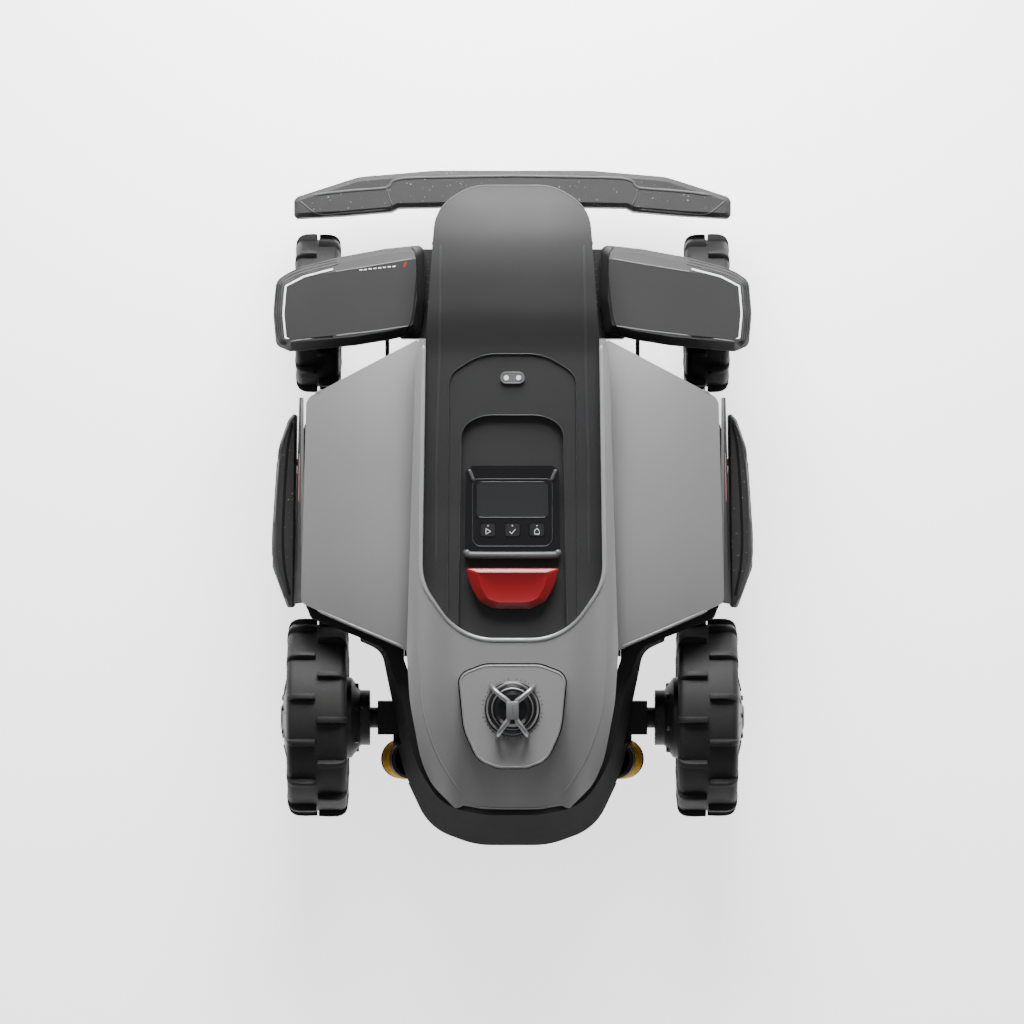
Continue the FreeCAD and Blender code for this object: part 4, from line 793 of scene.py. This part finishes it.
# ---------------------------------------------------------------- scanner
# The rotor sits in stepped polished rings under a cast guard with four rounded arms.  The innermost thin ring's
# lighter black paints a highlight round the dome, and a thin bright strip along the guard's bar paints its
# highlight.  Fine graduations are printed round the rotor on the platform.
moulded("guard_metal", (0.26, 0.263, 0.27), 0.24, 0.5, 0.04, 0.0, 0.0, metal=0.8)
moulded("ring_bright", (0.55, 0.56, 0.57), 0.12, 0.6, 0.02, 0.0, 0.0, metal=1.0)
scan_y = rear_y + 12.5
platform_skin = skin_of("scanner_platform")
platform = both([(30.0, rear_y + 61.0, 30.0), (59.0, rear_y + 50.0, 14.0), (53.0, rear_y - 10.0, 60.0),
                 (38.0, rear_y - 44.0, 26.0), (16.0, rear_y - 52.5, 20.0)])
bead("platform_edge", evenly(rounded(platform, -1.6)), platform_skin, 1.0, 0.5, "tail_grey", "chassis", True)
bead("platform_joint", evenly(rounded(platform, 0.9)), grey_skin, 0.7, 0.15, "joint_shadow", "chassis", True)


def circle(r, count=72):
    """Points round the scanner's axis, in millimetres."""
    angles = [2 * math.pi * k / count for k in range(count)]
    return [Vector((r * math.cos(a), scan_y + r * math.sin(a))) for a in angles]


def block(x0, x1, y0, y1, z0, z1):
    """A plain block between two values on each axis."""
    mesh = bmesh.new()
    bottom = [mesh.verts.new((x, y, z0)) for x, y in ((x0, y0), (x1, y0), (x1, y1), (x0, y1))]
    top = [mesh.verts.new((x, y, z1)) for x, y in ((x0, y0), (x1, y0), (x1, y1), (x0, y1))]
    mesh.faces.new(bottom[::-1])
    mesh.faces.new(top)
    for i in range(4):
        mesh.faces.new((bottom[i], bottom[(i + 1) % 4], top[(i + 1) % 4], top[i]))
    return mesh


bead("scanner_outer_ring", circle(29.6), skin_of("scanner_platform", "scanner_bezel"), 0.3, 0.15, "joint_shadow",
     "chassis", True)
graduations = 44
graduation_r = 31.9
for k in range(graduations):
    a = 2 * math.pi * k / graduations
    if min(abs(math.sin(a)), abs(math.cos(a))) < 0.1:
        continue                        # the four compass points stay clear
    length = 1.5 if k % 4 else 2.4
    spoke = Vector((math.cos(a), math.sin(a)))
    tick = [Vector((0, scan_y)) + spoke * r for r in (graduation_r, graduation_r + length)]
    bead(f"graduation_{k + 1}", tick, platform_skin, 0.35, 0.12, "joint_shadow", "chassis",
         taper=False)
step_skin = skin_of("scanner_bezel", "scanner_platform", "scanner_dome")
for k, (r, half_w, finish) in enumerate(((27.2, 1.6, "tail_grey"), (24.6, 0.5, "gloss_black"),
                                         (22.4, 0.9, "guard_metal"), (20.0, 0.35, "edge_sheen"))):
    bead(f"scanner_step_{k + 1}", circle(r), step_skin, half_w, 0.4, finish, "chassis", True)

guard_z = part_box("scanner_guard")[1].z / mm
arm_deep = 2.6
# Each arm runs from its foot to the bar: how far across, towards the front and above the crown, and half width.
front_arm = [(23.4, 25.4, -24.0, 2.3), (22.3, 24.2, -10.0, 2.5), (19.0, 20.6, -3.4, 2.6), (12.0, 14.4, -0.9, 2.7),
             (4.6, 8.4, -0.3, 3.0), (3.4, 3.0, -0.3, 3.0)]
rear_arm = [(16.8, -30.0, -24.0, 2.3), (15.8, -28.4, -10.0, 2.5), (13.6, -24.2, -3.4, 2.6), (9.6, -18.4, -0.9, 2.7),
            (4.6, -11.6, -0.3, 3.0), (3.4, -5.0, -0.3, 3.0)]
guard_arms = []
for side in sides.values():
    for arm in (front_arm, rear_arm):
        path = flowing([(side * x, scan_y + y, guard_z - 3.6 + z) for x, y, z, _ in arm], 1.5)
        widths = [w for *_, w in arm]
        sections = []
        for i, q in enumerate(path):
            t = i / (len(path) - 1) * (len(widths) - 1)
            j = min(int(t), len(widths) - 2)
            w = widths[j] + (widths[j + 1] - widths[j]) * (t - j)
            before, after = path[max(i - 1, 0)], path[min(i + 1, len(path) - 1)]
            along = (after - before).normalized()
            across = Vector((-along.y, along.x, 0)).normalized()
            up = along.cross(across).normalized()
            if up.z < 0:
                up = -up
            sections.append([(q + across * (w * math.cos(a)) + up * (arm_deep * math.sin(a))) * mm
                             for a in (2 * math.pi * m / 16 for m in range(16))])
        name = f"scanner_guard_arm_{len(guard_arms) + 1}"
        guard_arms.append(piece(name, loft(sections), "guard_metal", "chassis", 45))
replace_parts(guard_arms[0], "scanner_guard")
bar = block(-7.0 * mm, 7.0 * mm, (scan_y - 11.0) * mm, (scan_y + 9.0) * mm, (guard_z - 6.0) * mm,
            (guard_z - 0.6) * mm)
piece("scanner_guard_bar", bar, "guard_metal", "chassis", 40, 1.6 * mm)
# A thin strip of bright metal along the bar's crest paints its highlight.
ridge = block(-0.5 * mm, 0.5 * mm, (scan_y - 7.0) * mm, (scan_y + 6.0) * mm, (guard_z - 1.0) * mm,
              (guard_z - 0.35) * mm)
piece("scanner_guard_highlight_strip", ridge, "ring_bright", "chassis", 40, 0.2 * mm)

# ---------------------------------------------------------------- underside
# The tub's floor is held by eight dark screws, and low ribs stiffen it between them.
# Both are seen only when the mower is tipped up.
floor_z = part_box("chassis_tub")[0].z
screw_head = scaled([(-1.6, 0.0), (-1.6, 1.6), (-3.0, 2.0), (-3.0, 4.2), (-2.0, 4.8), (0.4, 4.8), (0.4, 0.0)])
rear_screws = [(-80, rear_y + 40), (80, rear_y + 40), (-76, rear_y - 76), (76, rear_y - 76)]
front_screws = [(-70, axle_y + 60), (70, axle_y + 60), (-70, axle_y - 20), (70, axle_y - 20)]
for name, places in (("tub_screws_rear", rear_screws), ("tub_screws_front", front_screws)):
    for k, (x, y) in enumerate(places):
        piece(f"{name}_{k + 1}", revolved(screw_head, 18), "screw_black", "chassis", 30,
              move=Matrix.Translation((x * mm, y * mm, floor_z)))
ribs = [(x, rear_y + 30, rear_y + 52) for x in (-66, 66)] + [(x, axle_y - 10, axle_y + 50) for x in (-56, 56, 0)]
for k, (x, y0, y1) in enumerate(ribs):
    rib = block((x - 2) * mm, (x + 2) * mm, y0 * mm, y1 * mm, floor_z - 1.4 * mm, floor_z + 0.6 * mm)
    piece(f"floor_rib_{k + 1}", rib, "housing_dark", "chassis", 30, 0.5 * mm)

# ---------------------------------------------------------------- studio
# A pale floor under the tyres, a wide soft light over the front of the mower, weak fills at both sides and
# behind, and a long lens straight above.
floor_mesh = bpy.data.meshes.new("floor")
floor_mesh.from_pydata([(-9, -9, 0), (9, -9, 0), (9, 9, 0), (-9, 9, 0)], [], [(0, 1, 2, 3)])
floor = bpy.data.objects.new("floor", floor_mesh)
bpy.context.scene.collection.objects.link(floor)
floor_paint = bpy.data.materials.new("floor_paint")
floor_paint.use_nodes = True
paint = floor_paint.node_tree.nodes["Principled BSDF"].inputs
for label, value in (("Base Color", (0.9, 0.9, 0.9, 1)), ("Roughness", 0.9), ("Emission Color", (1, 1, 1, 1)),
                     ("Emission Strength", 1.9)):
    paint[label].default_value = value
floor_mesh.materials.append(floor_paint)
world = bpy.data.worlds.new("studio")
world.use_nodes = True
background = world.node_tree.nodes["Background"].inputs
background["Color"].default_value = (1, 1, 1, 1)
background["Strength"].default_value = 0.22
bpy.context.scene.world = world
aim = Vector((0, 0, 0.1))
for name, place, size, power in (("key", (0, 1.20, 0.90), 0.9, 84), ("left", (-2.4, 1.0, 1.6), 1.4, 11),
                                 ("right", (2.4, 1.0, 1.6), 1.4, 11), ("back", (0, -2.8, 1.8), 1.6, 5)):
    light = bpy.data.lights.new(name, "AREA")
    light.size = size
    light.energy = power
    lamp = bpy.data.objects.new(name, light)
    lamp.location = place
    lamp.rotation_euler = (aim - Vector(place)).to_track_quat("-Z", "Y").to_euler()
    lamp.visible_camera = False
    bpy.context.scene.collection.objects.link(lamp)
camera = bpy.data.cameras.new("camera")
camera.lens = 300.0
camera.sensor_width = 36.0
camera.clip_end = 50.0
eye = bpy.data.objects.new("camera", camera)
eye.location = (-0.0005, -0.005, 9.555)
bpy.context.scene.collection.objects.link(eye)
bpy.context.scene.camera = eye
